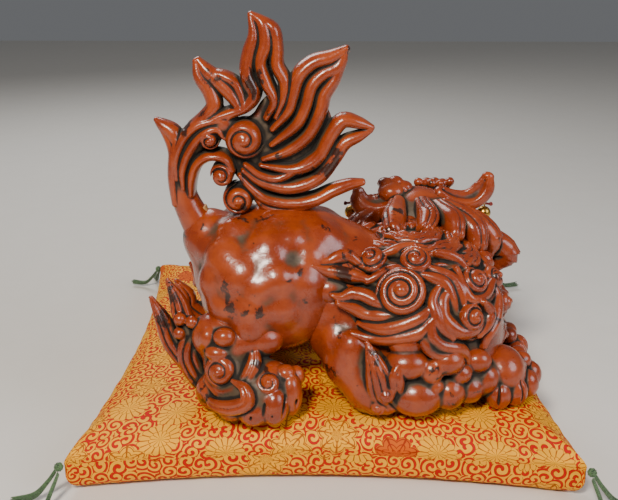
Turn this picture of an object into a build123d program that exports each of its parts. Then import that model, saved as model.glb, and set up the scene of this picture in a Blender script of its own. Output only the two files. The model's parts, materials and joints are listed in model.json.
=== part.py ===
from build123d import *
import os

# A guardian lion (foo dog) carved in joined blocks of wood and lacquered, resting on a
# square brocade cushion with a thread tassel at each corner.  Millimetres, +Z up.
# Origin: centre of the cushion's underside.  +X runs from the tail to the chest,
# and the lion's head is turned to look along +Y.

# ---------------------------------------------------------------- driving dimensions
STATUE_HEIGHT = 320.0        # soles to tip of tail; every carved block follows it
CARVED_AT = 320.0            # the height at which the carving places below are written

CUSHION_SIDE = 420.0         # corner to corner along one side, at the seam
CUSHION_TOP = 50.0           # where the paws rest
SEAM_HEIGHT = 28.0           # the welt round the cushion
SIDE_PULL = 14.0             # how far a side draws in between its corners
TOP_INSET = 34.0             # how far the flat top stands in from the seam
BOTTOM_INSET = 26.0          # the same for the underside
COVER_THICKNESS = 1.5        # brocade and its lining
PAW_GAP = 0.3                # air between the soles and the cushion

TASSEL_LENGTH = 46.0         # thread bundle, from its knot to its cut ends
TASSEL_WIDTH = 9.0           # the bundle where it fans out
TASSEL_NECK = 4.6            # the bundle below its knot
TASSEL_KNOT = 8.0            # diameter of the wrapped knot at the corner

DOWEL_CLEARANCE = 0.10       # radial, left for glue
DOWEL_END_GAP = 0.5          # at each end of a blind hole
WAIST_DOWEL = 14.0           # diameters of the pins inside the blocks
WAIST_DOWEL_LENGTH = 46.0
HIND_DOWEL = 9.0
HIND_DOWEL_LENGTH = 30.0
FORE_DOWEL = 9.0
FORE_DOWEL_LENGTH = 28.0
NECK_TENON = 18.0
NECK_TENON_LENGTH = 40.0
TAIL_TENON = 12.0
TAIL_TENON_LENGTH = 34.0
EAR_PEG = 4.0
EAR_PEG_LENGTH = 14.0

TOOTH_LENGTH = 4.0           # teeth and fangs, at CARVED_AT; they grow with the statue
TOOTH_RADIUS = 2.4
FANG_LENGTH = 6.4
FANG_RADIUS = 2.6
TOOTH_TIP = 0.35             # radius of the tip as a share of the root's
TOOTH_SET_BACK = 4.0         # roots lie this far behind the row's line

CORD_DIAMETER = 2.4          # red silk cord that carries the bells
CORD_CLEARANCE = 0.25        # groove round the cord
EAR_KNOT = 7.0               # knot that ties the cord under each ear
STOP_KNOT = 4.6              # knot that ends the cord beyond each ear bell

BELL_DIAMETER = 13.0         # round brass bell
BELL_WALL = 0.8
BELL_SEAM_GAP = 0.02         # the two halves are pressed together at the belt
BELL_SLOT = 1.4              # sound slot in the lower half
PELLET_DIAMETER = 3.4
PELLET_CLEARANCE = 0.35      # between the pellet and the inside of the shell
RING_WIRE = 0.9              # hanging ring of the bell
RING_CLEARANCE = 0.35        # between the ring's wire and the cord, all round

# ---------------------------------------------------------------- worked out from them
SIZE = STATUE_HEIGHT / CARVED_AT
REST = CUSHION_TOP + PAW_GAP
BODY_LINE = -90.0            # the lion's own centre plane, carving coordinates
HEAD_LINE = 88.0             # the head's centre plane, which stands across the body
BELL_RADIUS = BELL_DIAMETER / 2
RING_HOLE = CORD_DIAMETER / 2 + RING_CLEARANCE
RING_RADIUS = RING_HOLE + RING_WIRE / 2
BELL_DROP = RING_RADIUS + RING_WIRE / 2 + BELL_RADIUS - 0.3   # ring centre to bell centre


def spot(x, y, z):
    """Carving coordinates (z from the soles) to the frame of the part."""
    return (x * SIZE, y * SIZE, REST + z * SIZE)


def across_body(place):
    """The same place on the other side of the lion's centre plane."""
    x, y, z = place
    return (x, 2 * BODY_LINE - y, z)


def across_head(place):
    """The same place on the other side of the head's centre plane."""
    x, y, z = place
    return (2 * HEAD_LINE - x, y, z)


def ellipsoid(centre, half, seam=None):
    """A rounded mass of the carving: three half lengths, or one radius for a ball.

    The seam of its surface is turned towards the lion's centre plane, inside the block,
    unless `seam` gives another turn.
    """
    if seam is None:
        seam = (0, 0, 90 if centre[1] < BODY_LINE else -90)
    if isinstance(half, (int, float)):
        return Pos(*spot(*centre)) * Rot(*seam) * Sphere(half * SIZE)
    grown = tuple(a * SIZE for a in half)
    return Pos(*spot(*centre)) * scale(Rot(*seam) * Sphere(1), by=grown)


def masses(rows, seam=None):
    """Several rounded masses carved in one block."""
    block = ellipsoid(*rows[0], seam)
    for row in rows[1:]:
        block += ellipsoid(*row, seam)
    return block


def tongue(points, half_widths, half_depths, facing):
    """A flame tongue or a lock of hair: ellipses along a line, thick towards `facing`."""
    spots = [Vector(*spot(*p)) for p in points]
    depth_dir = Vector(*facing).normalized()
    last = len(spots) - 1
    sections = []
    for i, here in enumerate(spots):
        along = (spots[min(i + 1, last)] - spots[max(i - 1, 0)]).normalized()
        side = along.cross(depth_dir).normalized()
        plane = Plane(origin=here, x_dir=side, z_dir=along)
        sections.append(plane * Ellipse(half_widths[i] * SIZE, half_depths[i] * SIZE))
    return loft(sections)


def dowel(centre, direction, diameter, length):
    """A round pin centred on the joint between two blocks."""
    plane = Plane(origin=spot(*centre), z_dir=direction)
    return plane * Cylinder(diameter / 2, length)


def dowel_hole(centre, direction, diameter, length):
    """The blind holes for that pin, in both blocks at once."""
    return dowel(centre, direction, diameter + 2 * DOWEL_CLEARANCE, length + 2 * DOWEL_END_GAP)


def below_soles():
    """Everything under the flat soles, cut away from the paws and the chest."""
    return Pos(0, 0, REST - 100) * Box(900, 900, 200)


# ---------------------------------------------------------------- cushion
def cushion_outline(inset, height):
    """Square with its sides drawn in between the corners."""
    half = CUSHION_SIDE / 2 - inset
    pull = half - SIDE_PULL
    corners = [(-half, -half), (half, -half), (half, half), (-half, half)]
    middles = [(0, -pull), (pull, 0), (0, pull), (-pull, 0)]
    edges = []
    for i in range(4):
        edges.append(ThreePointArc(corners[i], middles[i], corners[(i + 1) % 4]))
    return Pos(0, 0, height) * make_face(edges)


def cushion_body(skin):
    """The stuffed form, `skin` inside the outer surface."""
    bottom = cushion_outline(BOTTOM_INSET + skin, skin)
    seam = cushion_outline(skin, SEAM_HEIGHT)
    top = cushion_outline(TOP_INSET + skin, CUSHION_TOP - skin)
    lower = loft([bottom, seam], ruled=True)
    upper = loft([seam, top], ruled=True)
    return lower + upper


def cushion_filling():
    return cushion_body(COVER_THICKNESS)


def cushion_cover():
    return cushion_body(0.0) - cushion_body(COVER_THICKNESS)


TASSEL_CORNERS = {
    "front_right": (1, -1),
    "front_left": (-1, -1),
    "back_right": (1, 1),
    "back_left": (-1, 1),
}


def corner_plane(way):
    """A plane at a cushion corner whose x runs outwards along the diagonal."""
    sx, sy = way
    reach = CUSHION_SIDE / 2
    return Plane(origin=(sx * reach, sy * reach, 0), x_dir=(sx, sy, 0), z_dir=(0, 0, 1))


def tassel_knot(way):
    """The wrapped knot sewn to the corner, just clear of the cover."""
    out = TASSEL_KNOT / 2 + 0.2
    return corner_plane(way) * (Pos(out, 0, SEAM_HEIGHT) * Sphere(TASSEL_KNOT / 2))


def tassel_threads(way):
    """Two thread bundles that fall from the knot and lie along the floor."""
    plane = corner_plane(way)
    start = TASSEL_KNOT / 2 + 0.2
    bundles = None
    for side in (-1, 1):
        lean = side * 0.55
        line = [
            (start + 0.05 * TASSEL_LENGTH, side * 2.4, SEAM_HEIGHT - TASSEL_KNOT / 2),
            (start + 0.20 * TASSEL_LENGTH, side * 4.5, 0.55 * SEAM_HEIGHT),
            (start + 0.42 * TASSEL_LENGTH, side * 4.5 + lean * 8, TASSEL_WIDTH / 2 + 1.5),
            (start + 0.78 * TASSEL_LENGTH, side * 4.5 + lean * 22, TASSEL_WIDTH / 2 + 0.4),
        ]
        widths = [TASSEL_NECK / 2, TASSEL_NECK / 2 + 0.4, TASSEL_WIDTH / 2 - 1, TASSEL_WIDTH / 2]
        sections = []
        for i, p in enumerate(line):
            here = Vector(*p)
            ahead = Vector(*line[min(i + 1, 3)])
            behind = Vector(*line[max(i - 1, 0)])
            cut = Plane(origin=here, z_dir=(ahead - behind).normalized())
            sections.append(cut * Circle(widths[i]))
        bundle = plane * loft(sections)
        bundles = bundle if bundles is None else bundles + bundle
    knot = tassel_knot(way)
    return bundles - knot


# ---------------------------------------------------------------- the carved blocks
WAIST_X = 14.0               # joint face between the rear and the front block

RUMP = [
    ((-46, -90, 100), (70, 60, 60)),      # rump
    ((-30, -90, 112), (66, 48, 46)),      # loin
    ((10, -90, 96), (52, 50, 44)),        # waist
    ((-98, -90, 130), (24, 26, 24)),      # root of the tail
]

CHEST = [
    ((76, -90, 62), (84, 78, 78)),        # the dome of the mane
    ((88, -48, 98), (44, 40, 40)),        # neck, turned towards the head
    ((120, -90, 44), (44, 66, 52)),       # breast
    ((30, -90, 80), (40, 58, 46)),        # withers
]

MANE_CURLS = [
    ((37, -134, 126), 14),
    ((75, -134, 128), 15),
    ((61, -144, 108), 20),
    ((122, -131, 105), 12),
    ((122, -144, 78), 13),
]

THIGH = [
    ((-48, -128, 92), (60, 34, 50)),
    ((-64, -142, 126), (30, 20, 26)),
    ((-28, -140, 118), (28, 22, 26)),
    ((-44, -146, 92), (34, 22, 26)),
    ((-92, -132, 100), 24),
    ((-18, -142, 88), 21),
]

SHANK = [
    ((-92, -146, 62), 22),
    ((-72, -150, 58), 20),
    ((-80, -154, 38), 23),
    ((-66, -162, 24), 24),
    ((-48, -168, 24), 24),
    ((-92, -156, 16), 17),
    ((-62, -183, 14), 14),
    ((-44, -185, 15), 14),
    ((-28, -176, 15), 13.5),
    ((-48, -178, 36), 9.5),
]

HOCK_TUFT = [
    ([(-112, -134, 52), (-126, -132, 62), (-128, -131, 86), (-134, -130, 104)],
     [10, 9, 6, 1.5], [9, 8, 5, 1.5]),
    ([(-110, -136, 34), (-128, -133, 48), (-138, -131, 72), (-147, -130, 90)],
     [10, 9, 6, 1.5], [9, 8, 5, 1.5]),
    ([(-100, -140, 24), (-112, -138, 40), (-116, -137, 62), (-114, -137, 78)],
     [12, 12, 11, 6], [9, 9, 9, 6]),
]

FOREARM = [
    ((8, -142, 66), (28, 24, 36)),        # upper arm
    ((28, -154, 34), (26, 24, 32)),       # elbow
    ((50, -158, 22), 22),
    ((66, -164, 50), 16.5),
    ((76, -168, 20), 20),
    ((102, -162, 22), 18.5),
    ((92, -164, 46), 16),
    ((118, -158, 38), 15),
    ((132, -150, 23), 18),
    ((156, -134, 24), 24),                # paw
    ((172, -120, 14), 14),
    ((166, -140, 13), 13),
    ((150, -152, 12), 12.5),
    ((172, -104, 13), 12.5),
]

ELBOW_TUFT = [
    ([(46, -168, 12), (40, -170, 34), (36, -170, 52), (33, -168, 66)],
     [14, 13, 9, 2], [7, 7, 5, 2]),
]

TAIL_TONGUES = [
    # stem that rises from the rump and turns over into the plume
    ([(-104, -90, 132), (-119, -90, 160), (-125, -90, 186), (-119, -90, 208),
      (-104, -90, 226), (-82, -90, 236)],
     [15, 12, 11, 11, 12, 14], [14, 12, 11, 12, 14, 16]),
    # highest flame
    ([(-58, -90, 226), (-50, -90, 258), (-53, -90, 284), (-54, -90, 302), (-61, -90, 319)],
     [22, 19, 15, 10, 2], [17, 14, 10, 7, 2]),
    # second flame, bent towards the head
    ([(-34, -90, 214), (-14, -90, 240), (-11, -90, 262), (-2, -90, 276), (13, -90, 292)],
     [20, 18, 16, 11, 2], [17, 14, 11, 8, 2]),
    # third flame
    ([(-42, -90, 184), (-12, -90, 190), (4, -90, 211), (17, -90, 226), (38, -90, 230)],
     [16, 15, 13, 9, 2], [17, 14, 11, 8, 2]),
    # lowest flame
    ([(-58, -90, 168), (-28, -90, 164), (-4, -90, 175), (12, -90, 181), (32, -90, 183)],
     [13, 11, 9, 6, 2], [15, 13, 10, 7, 2]),
    # flame behind
    ([(-84, -90, 232), (-88, -90, 250), (-95, -90, 266), (-101, -90, 276), (-105, -90, 285)],
     [17, 15, 11, 6, 2], [15, 12, 9, 6, 2]),
    # small flame at the turn of the stem
    ([(-116, -90, 216), (-127, -90, 225), (-136, -90, 230), (-145, -90, 236)],
     [8, 6, 4, 1.5], [9, 7, 5, 1.5]),
]

TAIL_MASSES = [
    ((-48, -90, 206), (38, 18, 38)),
]

TAIL_CURLS = [
    ((-66, -102, 223), 17),
    ((-101, -98, 221), 12),
    ((-92, -98, 196), 12),
    ((-74, -98, 173), 13),
]

SKULL = [
    ((88, -20, 121), 37.5),               # cranium
    ((73, 13, 140), 16),                  # brow, one knot over each eye
    ((103, 13, 140), 16),
    ((77, 30, 108), 19),                  # muzzle, one lobe each side
    ((99, 30, 108), 19),
    ((88, 48, 119), 9),                   # nose
    ((88, -14, 96), 30),                  # throat and back of the jaw
]

CHEEK_LOCKS = [
    ((120, 6, 104), 17),
    ((126, -46, 122), 15),
    ((150, -36, 110), 15),
    ((168, -32, 97), 15.5),
    ((134, -14, 93), 19),
]

BACK_LOCKS = [
    ((62, -54, 124), 13.5),
    ((93, -56, 122), 15),
    ((62, -27, 152), 12),
    ((112, 5, 151), 10),
    ((90, 6, 152), 9),
    ((66, 5, 151), 10),
]

EAR_RIGHT = ([(112, -18, 150), (127, -18, 146), (140, -18, 149), (149, -18, 157), (153, -17, 167)],
             [7, 9, 9, 8, 4], [5, 5, 5, 4, 3])
EAR_LEFT = ([(66, -18, 152), (54, -19, 144), (43, -20, 140), (34, -20, 145), (30, -20, 152)],
            [7, 10, 10, 8, 4], [5, 5, 5, 4, 3])


def rear_block():
    block = masses(RUMP) + masses(THIGH)
    for centre, semi in THIGH:
        block += ellipsoid(across_body(centre), semi)
    keep = Pos(WAIST_X * SIZE - 450, 0, 300) * Box(900, 900, 900)
    return block & keep


def front_block():
    block = masses(CHEST)
    for centre, semi in MANE_CURLS:
        block += ellipsoid(centre, semi)
        block += ellipsoid(across_body(centre), semi)
    keep = Pos(WAIST_X * SIZE + 450, 0, 300) * Box(900, 900, 900)
    return (block & keep) - below_soles()


def mirrored_rows(rows, mirror):
    return [(mirror(centre), semi) for centre, semi in rows]


def mirrored_tongues(rows, mirror):
    return [([mirror(p) for p in line], wide, deep) for line, wide, deep in rows]


def tongues(rows, facing):
    block = tongue(*rows[0], facing)
    for row in rows[1:]:
        block += tongue(*row, facing)
    return block


def hind_leg(side):
    rows = SHANK
    tuft = HOCK_TUFT
    if side == "left":
        rows = mirrored_rows(SHANK, across_body)
        tuft = mirrored_tongues(HOCK_TUFT, across_body)
    return masses(rows) + tongues(tuft, (0, 1, 0)) - below_soles()


def foreleg(side):
    rows = FOREARM
    tuft = ELBOW_TUFT
    if side == "left":
        rows = mirrored_rows(FOREARM, across_body)
        tuft = mirrored_tongues(ELBOW_TUFT, across_body)
    return masses(rows) + tongues(tuft, (0, 1, 0)) - below_soles()


TAIL_SEAM = (20, 70, 140)    # keeps the seams of the tail's rounded masses off its tongues' edges


def tail():
    block = tongues(TAIL_TONGUES, (0, 1, 0)) + masses(TAIL_MASSES, TAIL_SEAM)
    for centre, semi in TAIL_CURLS:
        block += ellipsoid(centre, semi, TAIL_SEAM)
        block += ellipsoid(across_body(centre), semi, TAIL_SEAM)
    return block


HEAD_SEAM = (63, 17, 200)    # keeps the seams of the head's balls off each other's edges


def head():
    rows = SKULL + BACK_LOCKS
    for centre, radius in CHEEK_LOCKS:
        rows = rows + [(centre, radius), (across_head(centre), radius)]
    return masses(rows, HEAD_SEAM)


def lower_jaw():
    return masses([
        ((88, 16, 78), (25, 30, 9)),
        ((88, 27, 67), 14.5),             # beard
    ])


def tongue_piece():
    return ellipsoid((88, 24, 87), (10, 16, 3))


def fang(place, length, radius, up):
    """One pointed tooth, its root in the gum."""
    x, y, z = spot(*place)
    root, height = radius * SIZE, length * SIZE
    if up:
        return Pos(x, y, z) * Cone(root, root * TOOTH_TIP, height)
    return Pos(x, y, z) * Cone(root * TOOTH_TIP, root, height)


TOOTH_ROW = [(-19, 33), (-12, 40), (-4, 43), (4, 43), (12, 40), (19, 33)]
FANG_ENDS = (0, 5)


def teeth(up, gum_height):
    """A row of teeth round the front of one jaw, with a longer fang at each end."""
    row = None
    for i, (dx, y) in enumerate(TOOTH_ROW):
        long_one = i in FANG_ENDS
        length = FANG_LENGTH if long_one else TOOTH_LENGTH
        radius = FANG_RADIUS if long_one else TOOTH_RADIUS
        tooth = fang((HEAD_LINE + dx, y - TOOTH_SET_BACK, gum_height), length, radius, up)
        row = tooth if row is None else row + tooth
    return row


def eye(side):
    place = (106, 25, 129)
    if side == "left":
        place = across_head(place)
    return ellipsoid(place, (8.5, 8.5, 8.5))


def ear(side):
    line, wide, deep = EAR_RIGHT if side == "right" else EAR_LEFT
    return tongue(line, wide, deep, (0, 1, 0))


# ---------------------------------------------------------------- cord and bells
EAR_BELL = (151, -16, 139)                # centre of the ring of the right ear's bell
THROAT_BELL = (88, 50, 62)                # and of the bell under the chin

CORD_RIGHT = [
    (157, -16, 139),
    (144, -16, 139),
    (139, -10, 124),
    (143, 6, 104),
    (130, 28, 82),
    (108, 46, 64),
]
CORD_THROAT = [
    (98, 50, 62),
    (78, 50, 62),
]


def cord_points():
    left = [across_head(p) for p in reversed(CORD_RIGHT)]
    return [spot(*p) for p in CORD_RIGHT + CORD_THROAT + left]


def cord_tube(diameter):
    """The silk cord along its whole route, from one end knot to the other."""
    points = cord_points()
    radii = []
    for i in range(1, len(points) - 1):
        before = Vector(*points[i]) - Vector(*points[i - 1])
        after = Vector(*points[i + 1]) - Vector(*points[i])
        turn = before.get_angle(after)
        shorter = min(before.length, after.length)
        half = Vector(1, 0, 0).rotate(Axis.Z, turn / 2)
        radii.append(0.45 * shorter / (half.Y / half.X))
    route = FilletPolyline(*points, radius=radii)
    start = Plane(origin=route @ 0, z_dir=route % 0)
    return sweep(start * Circle(diameter / 2), path=route)


def cord_knots():
    """A knot under each ear, and a smaller one that stops each end of the cord."""
    knots = None
    for mirror in (lambda p: p, across_head):
        ear_knot = Pos(*spot(*mirror(CORD_RIGHT[1]))) * Sphere(EAR_KNOT / 2)
        stop = Pos(*spot(*mirror(CORD_RIGHT[0]))) * Sphere(STOP_KNOT / 2)
        pair = ear_knot + stop
        knots = pair if knots is None else knots + pair
    return knots


def bell_ring(centre):
    """The wire ring that turns on the cord; its axis lies along X."""
    plane = Plane(origin=centre, z_dir=(1, 0, 0))
    return plane * Torus(RING_RADIUS, RING_WIRE / 2)


def bell_shell(centre):
    ball = Pos(*centre) * Sphere(BELL_RADIUS)
    inside = Pos(*centre) * Sphere(BELL_RADIUS - BELL_WALL)
    return ball - inside


def bell_upper(centre):
    """Upper half, with the wire ring soldered to its crown."""
    above = Pos(centre[0], centre[1], centre[2] + BELL_RADIUS) * Box(40, 40, 2 * BELL_RADIUS)
    crown = (centre[0], centre[1], centre[2] + BELL_DROP)
    inside = Pos(*centre) * Sphere(BELL_RADIUS - BELL_WALL / 2)
    return (bell_shell(centre) & above) + (bell_ring(crown) - inside)


def bell_lower(centre):
    """Lower half, with its sound slot ending in two round holes."""
    drop = BELL_RADIUS + BELL_SEAM_GAP
    below = Pos(centre[0], centre[1], centre[2] - drop) * Box(40, 40, 2 * BELL_RADIUS)
    slot_height = BELL_RADIUS * 1.3
    slot = Pos(centre[0], centre[1], centre[2] - BELL_RADIUS) * Box(40, BELL_SLOT, slot_height)
    reach = Pos(*centre) * Box(1.62 * BELL_RADIUS, 40, 40)
    return (bell_shell(centre) & below) - (slot & reach)


def bell_pellet(centre):
    """The loose pellet, lying in the bottom of the bell."""
    low = BELL_RADIUS - BELL_WALL - PELLET_DIAMETER / 2 - PELLET_CLEARANCE
    return Pos(centre[0], centre[1], centre[2] - low) * Sphere(PELLET_DIAMETER / 2)


def bell_centre(ring_place):
    x, y, z = spot(*ring_place)
    return (x, y, z - BELL_DROP)


BELLS = {
    "right": EAR_BELL,
    "left": across_head(EAR_BELL),
    "throat": THROAT_BELL,
}

# ---------------------------------------------------------------- pins inside the blocks
WAIST_PINS = [((WAIST_X, -106, 92), (1, 0, 0)), ((WAIST_X, -74, 92), (1, 0, 0))]
HIND_PINS = [((-86, -140, 74), (0, 0.5, 0.86)), ((-86, -40, 74), (0, -0.5, 0.86))]
FORE_PINS = [((34, -134, 50), (0, 1, 0)), ((34, -46, 50), (0, -1, 0))]
NECK_PIN = ((88, -34, 108), (0, 0.6, 0.8))
TAIL_PIN = ((-103, -90, 142), (-0.3, 0, 0.95))
EAR_PINS = [((110, -18, 150), (1, 0, 0)), ((67, -18, 150), (1, 0, 0))]


def pins(rows, diameter, length):
    group = dowel(*rows[0], diameter, length)
    for row in rows[1:]:
        group += dowel(*row, diameter, length)
    return group


def pin_holes(rows, diameter, length):
    group = dowel_hole(*rows[0], diameter, length)
    for row in rows[1:]:
        group += dowel_hole(*row, diameter, length)
    return group


def build():
    """Every sub-part by name.  A block that is let into another is cut out of it."""
    made = {}
    made["cushion_cover"] = cushion_cover()
    made["cushion_filling"] = cushion_filling()
    for corner, way in TASSEL_CORNERS.items():
        made["tassel_knot_" + corner] = tassel_knot(way)
        made["tassel_threads_" + corner] = tassel_threads(way)

    cord_groove = cord_tube(CORD_DIAMETER + 2 * CORD_CLEARANCE)
    knots = cord_knots()
    waist_holes = pin_holes(WAIST_PINS, WAIST_DOWEL, WAIST_DOWEL_LENGTH)
    hind_holes = pin_holes(HIND_PINS, HIND_DOWEL, HIND_DOWEL_LENGTH)
    fore_holes = pin_holes(FORE_PINS, FORE_DOWEL, FORE_DOWEL_LENGTH)
    neck_hole = pin_holes([NECK_PIN], NECK_TENON, NECK_TENON_LENGTH)
    tail_hole = pin_holes([TAIL_PIN], TAIL_TENON, TAIL_TENON_LENGTH)
    ear_holes = pin_holes(EAR_PINS, EAR_PEG, EAR_PEG_LENGTH)

    hind_right = hind_leg("right")
    hind_left = hind_leg("left")
    fore_right = foreleg("right")
    fore_left = foreleg("left")
    plume = tail()
    rear = rear_block() - plume - hind_right - hind_left - fore_right - fore_left
    front = front_block() - fore_right - fore_left
    jaw = lower_jaw()
    lick = tongue_piece()
    eyes = {side: eye(side) for side in ("right", "left")}
    ears = {side: ear(side) for side in ("right", "left")}
    upper_row = teeth(False, 92)
    lower_row = teeth(True, 84)
    whole_head = head()
    skull = whole_head - jaw - lick - eyes["right"] - eyes["left"] - ears["right"] - ears["left"]
    skull -= upper_row
    skull = skull - cord_groove - knots
    front = front - whole_head - jaw
    rear -= whole_head
    fore_left -= whole_head
    jaw = jaw - lick - lower_row - cord_groove

    made["rear_block"] = rear - waist_holes - hind_holes - tail_hole
    made["front_block"] = front - waist_holes - fore_holes - neck_hole
    made["waist_dowels"] = pins(WAIST_PINS, WAIST_DOWEL, WAIST_DOWEL_LENGTH)
    made["right_hind_leg"] = hind_right - hind_holes
    made["left_hind_leg"] = hind_left - hind_holes
    made["hind_leg_dowels"] = pins(HIND_PINS, HIND_DOWEL, HIND_DOWEL_LENGTH)
    made["right_foreleg"] = fore_right - fore_holes
    made["left_foreleg"] = fore_left - fore_holes
    made["foreleg_dowels"] = pins(FORE_PINS, FORE_DOWEL, FORE_DOWEL_LENGTH)
    made["tail"] = plume - tail_hole
    made["tail_tenon"] = pins([TAIL_PIN], TAIL_TENON, TAIL_TENON_LENGTH)
    made["head"] = skull - neck_hole - ear_holes
    made["neck_tenon"] = pins([NECK_PIN], NECK_TENON, NECK_TENON_LENGTH)
    made["lower_jaw"] = jaw
    made["tongue"] = lick
    made["upper_teeth"] = upper_row
    made["lower_teeth"] = lower_row
    for side in ("right", "left"):
        made[side + "_eye"] = eyes[side]
        made[side + "_ear"] = ears[side] - ear_holes - knots
    made["ear_pegs"] = pins(EAR_PINS, EAR_PEG, EAR_PEG_LENGTH)

    made["bell_cord"] = cord_tube(CORD_DIAMETER)
    made["cord_knots"] = knots
    for name, ring_place in BELLS.items():
        centre = bell_centre(ring_place)
        made["bell_upper_" + name] = bell_upper(centre)
        made["bell_lower_" + name] = bell_lower(centre)
        made["bell_pellet_" + name] = bell_pellet(centre)
    return made


if __name__ == "__main__":
    os.makedirs("parts", exist_ok=True)
    for node, solid in build().items():
        export_step(solid, f"parts/{node}.step")
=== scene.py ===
import json
import math
import random

import bpy
import numpy as np
import openvdb
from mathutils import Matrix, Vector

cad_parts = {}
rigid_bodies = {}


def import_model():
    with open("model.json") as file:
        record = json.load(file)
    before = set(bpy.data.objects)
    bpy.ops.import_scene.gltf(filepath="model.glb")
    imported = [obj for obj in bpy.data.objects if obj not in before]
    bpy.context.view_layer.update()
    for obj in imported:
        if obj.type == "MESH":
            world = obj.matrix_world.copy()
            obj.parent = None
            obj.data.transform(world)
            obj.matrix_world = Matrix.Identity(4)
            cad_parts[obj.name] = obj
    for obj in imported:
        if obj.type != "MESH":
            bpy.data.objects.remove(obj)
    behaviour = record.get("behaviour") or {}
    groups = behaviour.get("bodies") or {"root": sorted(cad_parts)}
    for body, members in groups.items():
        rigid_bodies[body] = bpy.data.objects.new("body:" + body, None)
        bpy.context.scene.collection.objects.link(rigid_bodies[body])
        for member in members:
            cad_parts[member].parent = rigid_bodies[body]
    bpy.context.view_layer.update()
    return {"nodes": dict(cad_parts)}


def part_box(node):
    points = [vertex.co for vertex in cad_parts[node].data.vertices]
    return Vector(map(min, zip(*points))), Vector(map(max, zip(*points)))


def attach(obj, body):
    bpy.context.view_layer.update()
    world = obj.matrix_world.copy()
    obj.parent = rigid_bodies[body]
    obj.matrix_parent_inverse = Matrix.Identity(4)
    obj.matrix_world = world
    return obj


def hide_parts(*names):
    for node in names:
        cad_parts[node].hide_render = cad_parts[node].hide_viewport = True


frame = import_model()

bl_info = {
    "name": "Foo dog on a brocade cushion",
    "version": (1, 0, 0),
    "blender": (4, 5, 0),
    "location": "View3D > Sidebar > Foo dog",
    "description": "Carves a lacquered guardian lion and sews the cushion that it rests on",
    "category": "Object",
}

# Carving coordinates are millimetres, z from the soles; +X tail to chest, head turned to +Y.
MM = 0.001
SOLE_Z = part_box("front_block")[0][2]          # height of the soles, metres
BODY_LINE = -90.0                             # the lion's own centre plane
HEAD_LINE = 88.0                              # the head's centre plane
FAR = 9.0                                     # distances are not followed beyond this, mm
CAMERA_PLACE = (-0.00207, -0.7697, 0.4247)    # metres
CAMERA_DROP = 20.6                            # degrees that the camera looks down
CAMERA_TURN = 1.02                            # degrees that it is turned about the upright
LENS, SENSOR = 48.2, 36.0                     # mm


# ---------------------------------------------------------------- clay: carving by distance
def smooth_min(a, b, k):
    """The lower of two distances, rounded over k mm where they meet."""
    if k <= 0:
        return np.minimum(a, b)
    h = np.maximum(k - np.abs(a - b), 0.0) / k
    return np.minimum(a, b) - h * h * k * 0.25


def unit(v):
    """The vector at a length of 1."""
    v = np.asarray(v, float)
    return v / max(np.linalg.norm(v), 1e-9)


def spline(rows, steps):
    """Points of a smooth line through the rows (Catmull-Rom), any number of columns."""
    rows = np.asarray(rows, float)
    padded = np.vstack([2 * rows[0] - rows[1], rows, 2 * rows[-1] - rows[-2]])
    out = []
    for i in range(1, len(padded) - 2):
        p0, p1, p2, p3 = padded[i - 1:i + 3]
        for t in np.arange(steps) / steps:
            out.append(0.5 * (2 * p1 + (p2 - p0) * t + (2 * p0 - 5 * p1 + 4 * p2 - p3) * t * t
                              + (3 * p1 - p0 - 3 * p2 + p3) * t ** 3))
    out.append(rows[-1])
    return np.array(out)


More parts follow.
